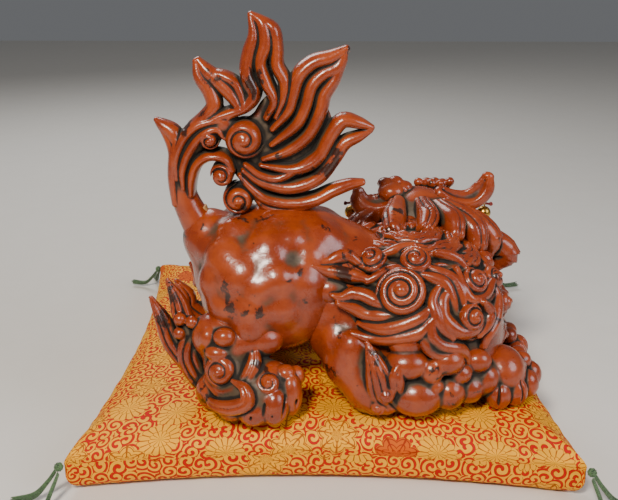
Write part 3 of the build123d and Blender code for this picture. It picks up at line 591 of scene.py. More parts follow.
def carve_head(voxel):
    clay = Clay((-8, -104, 48), (186, 66, 170), voxel)
    for centre, half, k in [
        ((88, -20, 120), (38, 38, 36), 0), ((88, -12, 96), (34, 32, 30), 8),
        ((76, 28, 108), (20, 22, 17), 5), ((100, 28, 108), (20, 22, 17), 5),
        ((88, 46, 118), (13, 9, 8), 3),
        ((88, 10, 128), (26, 24, 20), 6),
    ]:
        clay.ball(centre, half, k)
    for s in (-1, 1):
        x = HEAD_LINE + s * 18
        clay.ball((x, 14, 141), (15, 14, 8), 3)                      # brow
        for bx, by, bz, br in [(6, 22, 142, 6), (15, 24, 143, 6), (24, 21, 141, 6)]:
            clay.ball((HEAD_LINE + s * bx, by, bz), br, 1)
        clay.ball((x, 30, 129), (12, 10, 11), 2, cut=True)           # eye socket
        clay.ball((HEAD_LINE + s * 7, 52, 116), (3.4, 4, 3), 1, cut=True)
        clay.ball((HEAD_LINE + s * 9, 48, 120), (7, 7, 6), 2)        # nostril wing
        clay.curl((HEAD_LINE + s * 33, 14, 104), 13, 11, (s, 0.5, 0), 2.0, s, 0.2)
        clay.curl((HEAD_LINE + s * 29, 20, 84), 10, 9, (s, 0.5, -0.1), 1.8, s, 0.4)
        clay.lock([(HEAD_LINE + s * 8, 46, 108), (HEAD_LINE + s * 20, 46, 104),
                   (HEAD_LINE + s * 31, 36, 102)],
                  [3, 5, 2], [4, 5, 3], (0, 1, 0), 2, 1.2)
        # lip that curls up at the corner, and folds between nose and cheek
        clay.lock([(HEAD_LINE + s * 4, 54, 101), (HEAD_LINE + s * 16, 52, 99),
                   (HEAD_LINE + s * 26, 42, 97),
                   (HEAD_LINE + s * 31, 32, 101)], [2.5, 4, 4, 2], [3, 4.5, 4.5, 3], (0, 1, 0.2), 0, 0,
                   1.0)
        clay.lock([(HEAD_LINE + s * 10, 40, 124), (HEAD_LINE + s * 22, 38, 116),
                   (HEAD_LINE + s * 31, 28, 114)],
                  [2, 3.5, 2], [3, 4, 3], (0, 1, 0.2), 0, 0, 1.0)
        # flame brow over each eye
        clay.lock([(HEAD_LINE + s * 5, 32, 138), (HEAD_LINE + s * 16, 31, 143),
                   (HEAD_LINE + s * 28, 24, 144),
                   (HEAD_LINE + s * 36, 14, 150)], [3, 5, 5, 1.5], [4, 6, 5, 2], (0, 0.8, 0.5), 3, 1.8,
                   1.0)
    # mouth, cut deep between the lips
    clay.ball((88, 34, 88), (24, 30, 9), 3, cut=True)
    # row of curl knobs over the brow
    for bx, by, bz, br in [(98, 4, 153, 6), (106, 5, 154, 5), (113, 5, 153, 5), (120, 4, 155, 4.5),
                           (90, 5, 154, 4.5), (102, -2, 155, 4.5), (110, -3, 155, 4)]:
        clay.ball((bx, by, bz), br, 1)
    # bump at the root of the left ear
    for bx, by, bz, half in [(62, -22, 152, (13, 12, 10)), (56, -18, 160, (7, 7, 5)),
                             (66, -16, 161, (7, 7, 5)),
                             (74, -18, 156, (8, 8, 6))]:
        clay.ball((bx, by, bz), half, 2)
    # chunky locks that hang round the back of the head and the cheeks
    for line, wide, deep, n in [
        ([(66, -40, 146), (63, -56, 143), (61, -70, 141), (60, -84, 137)], [9, 11, 11.5, 9],
         [8, 10, 11, 9], 2),
        ([(90, -42, 146), (91, -57, 144), (91, -71, 142), (87, -85, 138)], [8, 10, 10.5, 8],
         [8, 10, 11, 9], 3),
        ([(104, -42, 144), (110, -56, 141), (114, -68, 138), (115, -79, 131)], [8, 10.5, 11, 9],
         [8, 10, 11, 8], 2),
        ([(112, -36, 142), (126, -48, 136), (135, -58, 127), (137, -64, 116)], [10, 13, 14, 11],
         [9, 11, 12, 10], 3),
        ([(124, -24, 134), (142, -34, 126), (154, -38, 112), (152, -38, 100)], [9, 13, 14, 10],
         [9, 11, 12, 9], 2),
        ([(134, -20, 116), (156, -28, 108), (171, -32, 96), (164, -32, 86)], [10, 13, 13, 8],
         [10, 12, 13, 9], 2),
        ([(52, -24, 134), (36, -34, 128), (26, -38, 114), (28, -38, 102)], [9, 12, 13, 9],
         [9, 11, 12, 9], 2),
        ([(42, -20, 116), (22, -28, 108), (8, -32, 96), (14, -32, 86)], [10, 12, 12, 8],
         [10, 12, 12, 9], 2),
    ]:
        face = unit((sum(p[0] for p in line) / 4 - 88, sum(p[1] for p in line) / 4 + 10, 10))
        clay.lock(line, wide, deep, face, n, 1.8, 1.6)
    return clay


def carve_ear(side, voxel):
    clay = Clay((20, -44, 122), (166, 10, 182), voxel)
    if side == "right":
        clay.lock([(108, -20, 150), (120, -21, 145), (132, -21, 144), (142, -20, 148), (149, -19, 156),
                   (152, -18, 166)], [8, 9.5, 10, 10.5, 10, 6], [7, 7, 7, 7, 6, 5], (0.1, -1, 0.5), 0,
                   0, 2)
        clay.lock([(112, -22, 156), (124, -26, 152), (136, -27, 152), (143, -26, 157), (147, -24, 164)],
                  [3, 5, 6, 5.5, 3], [3, 5, 6, 5, 3], (0, -0.5, 1), 0, 0, 3, cut=True)
    else:
        clay.lock([(72, -20, 154), (62, -24, 146), (52, -27, 140), (41, -27, 139), (33, -25, 145),
                   (31, -22, 152)], [8, 11, 12.5, 12.5, 10.5, 6], [7, 8, 8, 8, 7, 5], (-0.1, -1, 0.5),
                   0, 0, 2)
        clay.lock([(66, -28, 152), (57, -31, 150), (48, -33, 149), (40, -31, 151), (36, -28, 155)],
                  [3, 6, 7, 6, 3], [3, 5, 6, 5, 3], (0, -0.5, 1), 0, 0, 3, cut=True)
    return clay


def carve_jaw(voxel):
    clay = Clay((54, -22, 46), (122, 52, 96), voxel)
    clay.ball((88, 16, 78), (25, 29, 8), 0)
    clay.ball((88, 18, 86), (17, 24, 6), 2, cut=True)
    clay.ball((88, 36, 74), (14, 8, 6), 4)
    for s in (-1, 0, 1):
        clay.lock([(88 + s * 12, 30, 74), (88 + s * 11, 36, 66), (88 + s * 7, 34, 58),
                   (88 + s * 4, 28, 53)],
                  [6, 6, 5, 2], [6, 7, 6, 2], (0, 1, 0), 2, 1.4)
    return clay


def carve_tongue(voxel):
    clay = Clay((70, 0, 78), (106, 46, 96), voxel)
    clay.lock([(88, 10, 85), (88, 22, 87.5), (88, 34, 88), (88, 40, 86)], [9, 10, 8, 4], [3, 3.2, 3, 2],
              (0, 0, 1), 2, 0.8)
    return clay


def carve_teeth(upper, voxel):
    """A row of six teeth, the outer two longer."""
    clay = Clay((60, 16, 78), (116, 50, 98), voxel)
    gum, way = (94.5, -1) if upper else (81.5, 1)
    for i, (dx, y) in enumerate([(-19, 29), (-12, 36), (-4, 39), (4, 39), (12, 36), (19, 29)]):
        fang = 7.0 if i in (0, 5) else 4.2
        x = HEAD_LINE + dx
        clay.lock([(x, y, gum - way * 1.5), (x, y, gum + way * fang * 0.5), (x, y, gum + way * fang)],
                  [2.8, 2.5, 0.9], [2.4, 2.0, 0.9], (0, 1, 0), 0, 0, 0)
    return clay


# ---------------------------------------------------------------- materials
def linear(code):
    """An sRGB hex colour as the linear colour that shaders take."""
    parts = [int(code[i:i + 2], 16) / 255 for i in (1, 3, 5)]
    return tuple(c / 12.92 if c <= 0.04045 else ((c + 0.055) / 1.055) ** 2.4 for c in parts) + (1.0,)


def add(tree, kind, settings=None, **inputs):
    """A shader node with its settings and inputs; an input is a value or another node's socket."""
    node = tree.nodes.new(kind)
    for name, value in (settings or {}).items():
        setattr(node, name, value)
    for name, value in inputs.items():
        key = int(name[1:]) if name[0] == "_" else name.replace("_", " ")
        socket = node.inputs[key]
        if isinstance(value, bpy.types.NodeSocket):
            tree.links.new(value, socket)
        else:
            socket.default_value = value
    return node


def blank(name):
    """A new material with an empty tree and its surface shader."""
    material = bpy.data.materials.new(name)
    material.use_nodes = True
    tree = material.node_tree
    tree.nodes.clear()
    skin = add(tree, "ShaderNodeBsdfPrincipled")
    end = add(tree, "ShaderNodeOutputMaterial", Surface=skin.outputs[0])
    end.location = (300, 0)
    return material, tree, skin


def maths(tree, what, *values, clamp=False):
    """One step of arithmetic on values or sockets."""
    inputs = {f"_{i}": v for i, v in enumerate(values)}
    return add(tree, "ShaderNodeMath", {"operation": what, "use_clamp": clamp}, **inputs).outputs[0]


def rising(tree, value, start, end):
    """0 below start, 1 above end, smooth between."""
    return add(tree, "ShaderNodeMapRange", {"interpolation_type": "SMOOTHSTEP"}, Value=value,
               From_Min=start, From_Max=end).outputs[0]


def mixed(tree, amount, first, second, how="MIX"):
    """The first colour at an amount of 0 and the second at 1."""
    return add(tree, "ShaderNodeMix", {"data_type": "RGBA", "blend_type": how},
               _0=amount, _6=first, _7=second).outputs[2]


def noise(tree, where, size_mm, detail=3.0, rough=0.55):
    """Noise whose features are about size_mm across."""
    return add(tree, "ShaderNodeTexNoise", None, Vector=where, Scale=1000.0 / size_mm, Detail=detail,
               Roughness=rough).outputs[0]


def here(tree):
    """Place on the object, metres."""
    return add(tree, "ShaderNodeTexCoord").outputs["Object"]


def stored(tree, name, which="Fac"):
    """A value that the mesh carries at each of its points."""
    return add(tree, "ShaderNodeAttribute", {"attribute_name": name}).outputs[which]


def bumped(tree, height, depth_mm, strength=1.0):
    """A surface direction tilted by a height of 0 to 1 that stands for depth_mm."""
    return add(tree, "ShaderNodeBump", None, Strength=strength, Distance=depth_mm * MM,
               Height=height).outputs[0]


def lacquer_over_wood():
    """Red-brown lacquer brushed over carved wood and rubbed back.

    Gives the eye a warm glossy red, dull grey-green dust in broad hollows, painted shade
    that goes near black in the cuts and deeper red in the broad hollows, and dark worn patches
    on the swellings.
    """
    material, tree, skin = blank("Rubbed red lacquer over carved wood")
    at = here(tree)
    fine = stored(tree, "hollow_fine")
    broad = stored(tree, "hollow_broad")
    wander = noise(tree, at, 26, 4)
    grain = noise(tree, at, 5, 5, 0.65)
    base = mixed(tree, rising(tree, wander, 0.35, 0.68), linear("#84300C"), linear("#9E4216"))
    base = mixed(tree, maths(tree, "MULTIPLY", rising(tree, grain, 0.5, 0.75), 0.35), base,
                 linear("#6E1F10"))
    # painted shade: deeper red in the broad hollows beside the cuts, broken by the random tone
    painted_hollow_shade = rising(tree, maths(tree, "ADD", broad, maths(tree, "MULTIPLY", wander, 0.4)), 0.1, 0.75)
    base = mixed(tree, maths(tree, "MULTIPLY", painted_hollow_shade, 0.75), base, linear("#5A1C08"))
    # dust in the hollows
    dusty = maths(tree, "ADD", broad, maths(tree, "MULTIPLY", noise(tree, at, 9, 4), 1.1))
    dust = rising(tree, dusty, 0.55, 1.2)
    base = mixed(tree, maths(tree, "MULTIPLY", dust, 0.85), base, linear("#46402C"))
    # painted shade: the cuts and narrow hollows go near black
    cut = rising(tree, maths(tree, "ADD", fine, maths(tree, "MULTIPLY", grain, 0.35)), 0.28, 0.62)
    base = mixed(tree, maths(tree, "MULTIPLY", cut, 0.95), base, linear("#120D08"))
    # patches rubbed through to the black underlayer
    patch = add(tree, "ShaderNodeTexNoise", None, Vector=at, Scale=34.0, Detail=6.0, Roughness=0.62,
                Distortion=0.4).outputs[0]
    worn = rising(tree, patch, 0.60, 0.635)
    base = mixed(tree, maths(tree, "MULTIPLY", worn, 0.9), base, linear("#1C120C"))
    dull = maths(tree, "ADD", maths(tree, "MULTIPLY", dust, 0.28), maths(tree, "MULTIPLY", cut, 0.3))
    rough = maths(tree, "ADD", dull, maths(tree, "MULTIPLY_ADD", wander, 0.16, 0.2), clamp=True)
    height = maths(tree, "ADD", maths(tree, "MULTIPLY", noise(tree, at, 11, 3), 1.0),
                   maths(tree, "MULTIPLY", noise(tree, at, 1.4, 4), 0.12))
    gloss = maths(tree, "SUBTRACT", 0.4, maths(tree, "MULTIPLY", maths(tree, "MAXIMUM", dust, cut), 0.7),
                  clamp=True)
    tree.links.new(base, skin.inputs["Base Color"])
    tree.links.new(rough, skin.inputs["Roughness"])
    tree.links.new(gloss, skin.inputs["Coat Weight"])
    skin.inputs["Coat Roughness"].default_value = 0.16
    skin.inputs["IOR"].default_value = 1.52
    tree.links.new(bumped(tree, height, 1.3, 0.6), skin.inputs["Normal"])
    return material


def red_lacquer_inside():
    """Darker matt red for the mouth and tongue, with painted shade near black in its cuts."""
    material, tree, skin = blank("Dark red lacquer of the mouth, brushed")
    at = here(tree)
    fine = stored(tree, "hollow_fine")
    base = mixed(tree, noise(tree, at, 6, 4), linear("#7E1E14"), linear("#A02E1E"))
    # painted shade: near black in the cuts of the mouth and tongue
    base = mixed(tree, rising(tree, fine, 0.4, 0.9), base, linear("#1A0B08"))
    tree.links.new(base, skin.inputs["Base Color"])
    skin.inputs["Roughness"].default_value = 0.35
    skin.inputs["Coat Weight"].default_value = 0.4
    tree.links.new(bumped(tree, noise(tree, at, 3, 3), 0.4, 0.5), skin.inputs["Normal"])
    return material


def plain(name, light, dark, roughness, metallic=0.0, size_mm=5.0, depth=0.15, coat=0.0, stretch=None):
    """A surface of two close tones with a fine uneven skin."""
    material, tree, skin = blank(name)
    at = here(tree)
    if stretch:
        at = add(tree, "ShaderNodeMapping", None, Vector=at, Scale=stretch).outputs[0]
    tone = noise(tree, at, size_mm, 5, 0.6)
    spots = noise(tree, at, size_mm * 0.3, 4)
    base = mixed(tree, rising(tree, tone, 0.38, 0.62), linear(dark), linear(light))
    rough = maths(tree, "MULTIPLY_ADD", spots, 0.2, roughness - 0.1)
    tree.links.new(base, skin.inputs["Base Color"])
    tree.links.new(rough, skin.inputs["Roughness"])
    skin.inputs["Metallic"].default_value = metallic
    skin.inputs["Coat Weight"].default_value = coat
    tree.links.new(bumped(tree, spots, depth, 0.6), skin.inputs["Normal"])
    return material


def brass():
    """Spun brass: a warm yellow shine, clouded with brown where it has been handled."""
    return plain("Spun brass, browned with handling", "#E0B45A", "#A87A34", 0.28, 1.0, 4.0, 0.05)


def painted_eye():
    """Dark glass with a ring of gold paint round the pupil, clear and wet to the eye."""
    material, tree, skin = blank("Painted glass eye, polished")
    at = stored(tree, "iris", "Vector")
    out = add(tree, "ShaderNodeVectorMath", {"operation": "LENGTH"}, _0=at).outputs["Value"]
    streak = add(tree, "ShaderNodeTexNoise", None, Vector=at, Scale=3.0, Detail=4.0).outputs[0]
    ring = maths(tree, "MULTIPLY", rising(tree, out, 0.3, 0.36),
                 maths(tree, "SUBTRACT", 1.0, rising(tree, out, 0.62, 0.72)))
    gold = mixed(tree, streak, linear("#8A5A18"), linear("#D8A23C"))
    base = mixed(tree, rising(tree, out, 0.72, 0.8), linear("#0C0806"), linear("#D9C9A4"))
    base = mixed(tree, ring, base, gold)
    tree.links.new(base, skin.inputs["Base Color"])
    skin.inputs["Roughness"].default_value = 0.12
    skin.inputs["Coat Weight"].default_value = 1.0
    skin.inputs["Coat Roughness"].default_value = 0.03
    tree.links.new(bumped(tree, streak, 0.05, 0.3), skin.inputs["Normal"])
    return material


def scattered(tree, at, cell_mm, looseness):
    """Jittered cells: each one's random colours, and the angle and distance (mm) from its middle."""
    net = add(tree, "ShaderNodeTexVoronoi", {"voronoi_dimensions": "2D"}, Vector=at,
              Scale=1000.0 / cell_mm, Randomness=looseness)
    away = add(tree, "ShaderNodeVectorMath", {"operation": "SUBTRACT"}, _0=at,
               _1=net.outputs["Position"]).outputs[0]
    split = add(tree, "ShaderNodeSeparateXYZ", None, Vector=away)
    angle = maths(tree, "ARCTAN2", split.outputs[1], split.outputs[0])
    length = add(tree, "ShaderNodeVectorMath", {"operation": "LENGTH"}, _0=away).outputs["Value"]
    chance = add(tree, "ShaderNodeSeparateColor", None, Color=net.outputs["Color"])
    return chance.outputs, angle, maths(tree, "MULTIPLY", length, 1000.0)


def brocade():
    """Woven silk brocade: gold chrysanthemums and scrolling leaves on red.

    Gives the eye dense gold flowers with fine dark outlines, red showing between the scrolls,
    a few red flowers, and the ribbed weave that catches light along the gold thread.
    """
    material, tree, skin = blank("Silk brocade, woven in gold on red")
    at = stored(tree, "cloth", "Vector")
    flower_cell, vine_cell = 41.0, 10.5        # mm from one figure to the next
    bent = add(tree, "ShaderNodeTexNoise", {"noise_dimensions": "2D"}, Vector=at, Scale=30.0,
               Detail=1.0).outputs["Color"]
    sway = add(tree, "ShaderNodeVectorMath", {"operation": "SCALE"}, _0=bent, Scale=0.006).outputs[0]
    swayed = add(tree, "ShaderNodeVectorMath", {"operation": "ADD"}, _0=at, _1=sway).outputs[0]

    kind, angle, out = scattered(tree, swayed, flower_cell, 0.5)
    which = kind[0]
    turned = maths(tree, "MULTIPLY_ADD", kind[1], 6.28, angle)

    # chrysanthemum: two rows of petals round an eye
    def petals(count, outer, phase):
        a = maths(tree, "MULTIPLY_ADD", turned, count * 0.5, phase)
        swell = maths(tree, "ABSOLUTE", maths(tree, "COSINE", a))
        edge = maths(tree, "MULTIPLY_ADD", swell, outer * 0.16, outer * 0.84)
        inside = maths(tree, "LESS_THAN", out, edge)
        line = maths(tree, "GREATER_THAN", swell, 0.3)
        rim = maths(tree, "GREATER_THAN", maths(tree, "SUBTRACT", edge, out), 0.45)
        return inside, maths(tree, "MULTIPLY", line, rim)

    # a lobed leaf with curved veins
    def leafy(count, outer):
        a = maths(tree, "MULTIPLY", turned, count * 0.5)
        swell = maths(tree, "ABSOLUTE", maths(tree, "COSINE", a))
        edge = maths(tree, "MULTIPLY_ADD", maths(tree, "POWER", swell, 0.45), outer * 0.32, outer * 0.68)
        inside = maths(tree, "LESS_THAN", out, edge)
        veins = maths(tree, "SINE", maths(tree, "MULTIPLY_ADD", out, 1.5,
                                          maths(tree, "MULTIPLY", swell, -5.0)))
        line = maths(tree, "GREATER_THAN", veins, -0.78)
        mid = maths(tree, "GREATER_THAN", maths(tree, "SUBTRACT", 1.0, swell), 0.02)
        rim = maths(tree, "GREATER_THAN", maths(tree, "SUBTRACT", edge, out), 0.45)
        return inside, maths(tree, "MULTIPLY", maths(tree, "MULTIPLY", line, mid), rim)

    outer_in, outer_line = petals(16, 16.2, 0.0)
    inner_in, inner_line = petals(12, 8.6, 0.4)
    inner_line = maths(tree, "MAXIMUM", inner_line, maths(tree, "SUBTRACT", 1.0, inner_in))
    outer_line = maths(tree, "MAXIMUM", outer_line, inner_in)
    eye = maths(tree, "LESS_THAN", out, 2.4)
    eye_net = maths(tree, "GREATER_THAN", maths(tree, "SINE", maths(tree, "MULTIPLY", out, 5.5)), -0.5)
    mum_line = maths(tree, "MULTIPLY", outer_line, inner_line)
    mum_line = maths(tree, "MAXIMUM", mum_line, eye)
    mum_line = maths(tree, "MULTIPLY", mum_line, maths(tree, "MAXIMUM", eye_net,
                                                       maths(tree, "SUBTRACT", 1.0, eye)))
    leaf_in, leaf_line = leafy(7, 16.4)
    is_leaf = maths(tree, "GREATER_THAN", which, 0.55)
    plain_part = maths(tree, "SUBTRACT", 1.0, is_leaf)
    inside = maths(tree, "ADD", maths(tree, "MULTIPLY", outer_in, plain_part),
                   maths(tree, "MULTIPLY", leaf_in, is_leaf))
    lines = maths(tree, "ADD", maths(tree, "MULTIPLY", mum_line, plain_part),
                  maths(tree, "MULTIPLY", leaf_line, is_leaf))
    red_kind = maths(tree, "GREATER_THAN", kind[2], 0.84)

    # scrolling vines between the flowers
    chance, spin, dist = scattered(tree, swayed, vine_cell, 0.85)
    hand = maths(tree, "MULTIPLY_ADD", maths(tree, "GREATER_THAN", chance[0], 0.5), 2.0, -1.0)
    wind = maths(tree, "MULTIPLY_ADD", dist, 1.75, maths(tree, "MULTIPLY", spin, hand))
    scroll = maths(tree, "SINE", wind)
    fat = noise(tree, swayed, 7, 2)
    on_scroll = maths(tree, "GREATER_THAN", maths(tree, "MULTIPLY_ADD", fat, 1.1, scroll), 0.38)
    scroll_edge = maths(tree, "LESS_THAN", maths(tree, "ABSOLUTE", maths(
        tree, "SUBTRACT", maths(tree, "MULTIPLY_ADD", fat, 1.1, scroll), 0.38)), 0.14)

    gold = mixed(tree, noise(tree, at, 4, 3), linear("#FFA800"), linear("#FFBE12"))
    red = mixed(tree, noise(tree, at, 12, 3), linear("#BE0500"), linear("#CE0C00"))
    dark = linear("#4A1206")
    fill = mixed(tree, on_scroll, red, gold)
    fill = mixed(tree, maths(tree, "MULTIPLY", scroll_edge, 0.55), fill, dark)
    bloom = mixed(tree, red_kind, gold, mixed(tree, 0.25, red, gold))
    bloom = mixed(tree, maths(tree, "MULTIPLY", maths(tree, "SUBTRACT", 1.0, lines), 0.8), bloom,
                  mixed(tree, 0.55, red, dark))
    colour = mixed(tree, inside, fill, bloom)
    is_gold = maths(tree, "ADD", maths(tree, "MULTIPLY", inside, maths(tree, "MULTIPLY", lines, maths(
        tree, "SUBTRACT", 1.0, red_kind))), maths(tree, "MULTIPLY", maths(
            tree, "SUBTRACT", 1.0, inside), on_scroll), clamp=True)

    # weave: gold weft ribs, with the red warp satin between
    weft_pitch, warp_pitch = 0.00045, 0.00060  # metres from thread to thread
    place = add(tree, "ShaderNodeSeparateXYZ", None, Vector=at)
    weft = maths(tree, "SINE", maths(tree, "MULTIPLY", place.outputs[1], 2 * math.pi / weft_pitch))
    warp = maths(tree, "SINE", maths(tree, "MULTIPLY", place.outputs[0], 2 * math.pi / warp_pitch))
    rib = maths(tree, "MULTIPLY", weft, maths(tree, "MULTIPLY_ADD", warp, 0.3, 0.7))
    height = maths(tree, "ADD", maths(tree, "MULTIPLY", rib, 0.12),
                   maths(tree, "MULTIPLY", is_gold, 0.5))
    shade = maths(tree, "MULTIPLY_ADD", rib, 0.05, 0.95)
    colour = mixed(tree, 1.0, colour, add(tree, "ShaderNodeCombineColor", None, Red=shade, Green=shade,
                                          Blue=shade).outputs[0], "MULTIPLY")
    tree.links.new(colour, skin.inputs["Base Color"])
    tree.links.new(maths(tree, "MULTIPLY", is_gold, 0.12), skin.inputs["Metallic"])
    tree.links.new(maths(tree, "MULTIPLY_ADD", is_gold, -0.15, 0.7), skin.inputs["Roughness"])
    skin.inputs["Specular IOR Level"].default_value = 0.2
    tree.links.new(bumped(tree, height, 0.25, 0.8), skin.inputs["Normal"])
    return material


def silk(name, light, dark, pitch_mm):
    """Loose silk thread: fine strands along its length, from the strand attribute, with painted sheen
    and shade along the twist.
    """
    material, tree, skin = blank(name)
    strand = stored(tree, "strand", "Vector")
    split = add(tree, "ShaderNodeSeparateXYZ", None, Vector=strand)
    twist = maths(tree, "MULTIPLY_ADD", split.outputs[0], 2 * math.pi * 9,
                  maths(tree, "MULTIPLY", split.outputs[1], 2 * math.pi / pitch_mm))
    line = maths(tree, "SINE", twist)
    at = here(tree)
    # painted sheen and shade: lighter on the crests of the twist, darker in its grooves, with random
    # tone added
    tone = maths(tree, "MULTIPLY_ADD", line, 0.25, noise(tree, at, 3, 4))
    base = mixed(tree, rising(tree, tone, 0.25, 0.75), linear(dark), linear(light))
    tree.links.new(base, skin.inputs["Base Color"])
    skin.inputs["Roughness"].default_value = 0.55
    skin.inputs["Sheen Weight"].default_value = 0.3
    tree.links.new(bumped(tree, line, 0.12, 0.8), skin.inputs["Normal"])
    return material


MAKERS = {
    "lacquer": lacquer_over_wood,
    "mouth": red_lacquer_inside,
    "brocade": brocade,
    "brass": brass,
    "eye": painted_eye,
    # soft green strands with a dull sheen, and light and shade painted along the twist
    "thread": lambda: silk("Green silk thread, twisted by hand", "#5E8A4E", "#1E3A1C", 3.0),
    # slanting lines of painted light and shade on the red, one for each ply
    "cord": lambda: silk("Red silk cord, twisted two-ply", "#B4281C", "#5C0E0A", 2.6),
    # pale and dull, with the grain drawn out along the dowel
    "wood": lambda: plain("Turned cypress, unfinished", "#C79A62", "#A87844", 0.6, 0.0, 6.0, 0.2, 0.0,
                          (1.0, 1.0, 0.12)),
    # creamy white teeth with a low gloss
    "ivory": lambda: plain("Bone white lacquer, brushed on wood", "#E6DCC0", "#C4B48C", 0.35, 0.0, 3.0,
                           0.1, 0.5),
    # dark grey metal, dull
    "steel": lambda: plain("Cast iron pellet, tumbled", "#7C7A76", "#4E4C48", 0.45, 1.0, 1.5, 0.08),
    # off-white, matt and lumpy
    "wadding": lambda: plain("Cotton wadding, carded", "#EEE8DA", "#D8D0BC", 0.9, 0.0, 3.0, 0.8),
}


made = {}


def material(key):
    """The material of that key, made the first time it is asked for."""
    label = "foo_" + key
    if label not in made:
        made[label] = MAKERS[key]()
    return made[label]


def paint(piece, key):
    """Gives a piece its one material."""
    piece.data.materials.clear()
    piece.data.materials.append(material(key))


# ---------------------------------------------------------------- cushion
SEAM_HEIGHT = 26.0                            # of the cushion's seam above the floor, mm
SHOULDER_RUN = 34.0                           # the top rounds over this far in from the seam, mm
UNDER_RUN = 13.0                              # and the underside this far, mm
SOFT_REACH = 26.0                             # a dent fades out this far from what presses, mm
FEET = [                                      # places that press into the cushion: x, y, half sizes, mm
    (90, -140, 96, 44), (90, -40, 96, 44), (-62, -162, 46, 34), (-62, -18, 46, 34), (76, -90, 62, 60),
]


def pressed(x, y):
    """1 under the carving's feet and chest, falling to 0 beside them."""
    press = np.zeros_like(x)
    for cx, cy, hx, hy in FEET:
        q = np.sqrt(((x - cx) / hx) ** 2 + ((y - cy) / hy) ** 2)
        away = (q - 1) * min(hx, hy)
        press = np.maximum(press, np.clip(1 - away / SOFT_REACH, 0, 1))
    return press ** 2 * (3 - 2 * press)


def swollen(across, side):
    """How far the cloth beside a seam swells out past it, mm; across is -1 to 1 from seam to seam."""
    inward = np.clip(1 - np.abs(across), 0, 1) * side
    return np.sign(across) * 7.0 * np.sqrt(inward / 8) * np.exp(-(1 - np.abs(across)) * side / 9)


def cushion_shape(settings):
    """Rows of points and their cloth coordinates for the top and bottom panels."""
    side, crown, pull = settings.side / MM / 2, settings.crown / MM, settings.pull / MM
    seam = SEAM_HEIGHT
    steps = 180
    line = np.sin(np.linspace(-1, 1, steps + 1) * math.pi / 2)
    line = 0.75 * line + 0.25 * np.linspace(-1, 1, steps + 1)
    s, t = np.meshgrid(line, line, indexing="ij")
    x = s * (side - pull * (1 - t * t) - 1.5)
    y = t * (side - pull * (1 - s * s) - 1.5)
    edge = np.minimum(1 - np.abs(s), 1 - np.abs(t)) * side        # mm in from the seam
    round_top = np.clip(edge / SHOULDER_RUN, 0, 1)
    shoulder = np.sqrt(1 - (1 - round_top) ** 2)
    dome = ((1 - s * s) * (1 - t * t)) ** 0.6
    low_top = seam + 17.0
    top = seam + (low_top - seam) * shoulder + (crown - low_top) * dome
    # puckers along the seam and creases that run out of the corners
    along = np.where(1 - np.abs(s) < 1 - np.abs(t), y, x)
    wave = np.sin(along / 5.4 + 1.7 * np.sin(along / 23) + 0.8 * np.sin(along / 11 + 2))
    top = top + 0.9 * wave * np.exp(-edge / 11) * np.clip(edge / 4, 0, 1)
    corner = np.hypot(side - np.abs(x), side - np.abs(y))
    fan = np.sin(9 * np.arctan2(side - np.abs(y) + 1e-6, side - np.abs(x) + 1e-6)
                 + 0.9 * np.sign(x) + 0.5 * np.sign(y))
    top = top + 1.5 * fan * np.exp(-((corner - 42) / 34) ** 2)
    top = top + 1.3 * np.sin(x / 31 + 1.1 * np.sin(y / 47)) * np.sin(y / 37 + 0.6) * dome
    top = np.maximum(top, seam)
    press = pressed(x, y)
    top = np.where(press > 0, top * (1 - press) + np.minimum(top, settings.rest / MM - 0.4) * press, top)
    # the middle of the near side is lifted a little off the floor by the seam's pull
    round_base = np.clip(edge / UNDER_RUN, 0, 1)
    base = seam * (1 - np.sqrt(1 - (1 - round_base) ** 2))
    base = base + 3.0 * np.maximum(1 - s * s, 1 - t * t) * np.exp(-edge / 30) * round_base
    base = np.maximum(base, 0.0) + 0.5 * wave * np.exp(-edge / 9) * np.clip(edge / 4, 0, 1)
    base = np.maximum(base, 0.0)
    return s, t, x + swollen(s, side), y + swollen(t, side), top, base


def unrolled(x, y, z):
    """Cloth coordinates, metres: how long the cloth is from the panel's middle lines."""
    n = len(x)
    runs = []
    for across, height in ((x[:, n // 2], z[:, n // 2]), (y[n // 2], z[n // 2])):
        run = np.concatenate([[0], np.cumsum(np.hypot(np.diff(across), np.diff(height)))]) * MM
        runs.append(run - run[n // 2])
    u, v = np.meshgrid(runs[0], runs[1], indexing="ij")
    return np.column_stack([u.ravel(), v.ravel()])


def sew_cushion(settings):
    """The cushion's cover: two panels that share the points of their seam."""
    s, t, x, y, top, base = cushion_shape(settings)
    n = s.shape[0]
    order = np.arange(n * n).reshape(n, n)
    rim = (np.abs(s) == 1) | (np.abs(t) == 1)
    low = np.where(rim, order, 0)
    low[~rim] = n * n + np.arange((~rim).sum())
    points = np.vstack([
        np.column_stack([x.ravel(), y.ravel(), top.ravel()]),
        np.column_stack([x[~rim], y[~rim], base[~rim]]),
    ])
    upper = unrolled(x, y, top)
    under = unrolled(x, y, base)
    under = np.vstack([under, under[(~rim).ravel()]]) + (0.713, 0.427)
    faces = []
    for grid, over in ((order, True), (low, False)):
        a, b, c, d = grid[:-1, :-1], grid[1:, :-1], grid[1:, 1:], grid[:-1, 1:]
        ring = (a, b, c, d) if over else (d, c, b, a)
        faces.append(np.stack([r.ravel() for r in ring], 1))
    data = bpy.data.meshes.new("brocade_cover")
    data.from_pydata((points * MM).tolist(), [], np.vstack(faces).tolist())
    # cloth coordinates lie on the face corners, so that the two panels can differ at the seam
    corners = np.vstack(faces)
    half = len(faces[0])
    cloth = np.zeros((len(corners) * 4, 3), np.float32)
    cloth[:half * 4, :2] = upper[corners[:half].ravel()]
    cloth[half * 4:, :2] = under[corners[half:].ravel()]
    layer = data.attributes.new("cloth", "FLOAT_VECTOR", "CORNER")
    layer.data.foreach_set("vector", cloth.ravel())
    data.polygons.foreach_set("use_smooth", [True] * len(data.polygons))
    cover = bpy.data.objects.new("brocade_cover", data)
    bpy.context.scene.collection.objects.link(cover)
    return cover


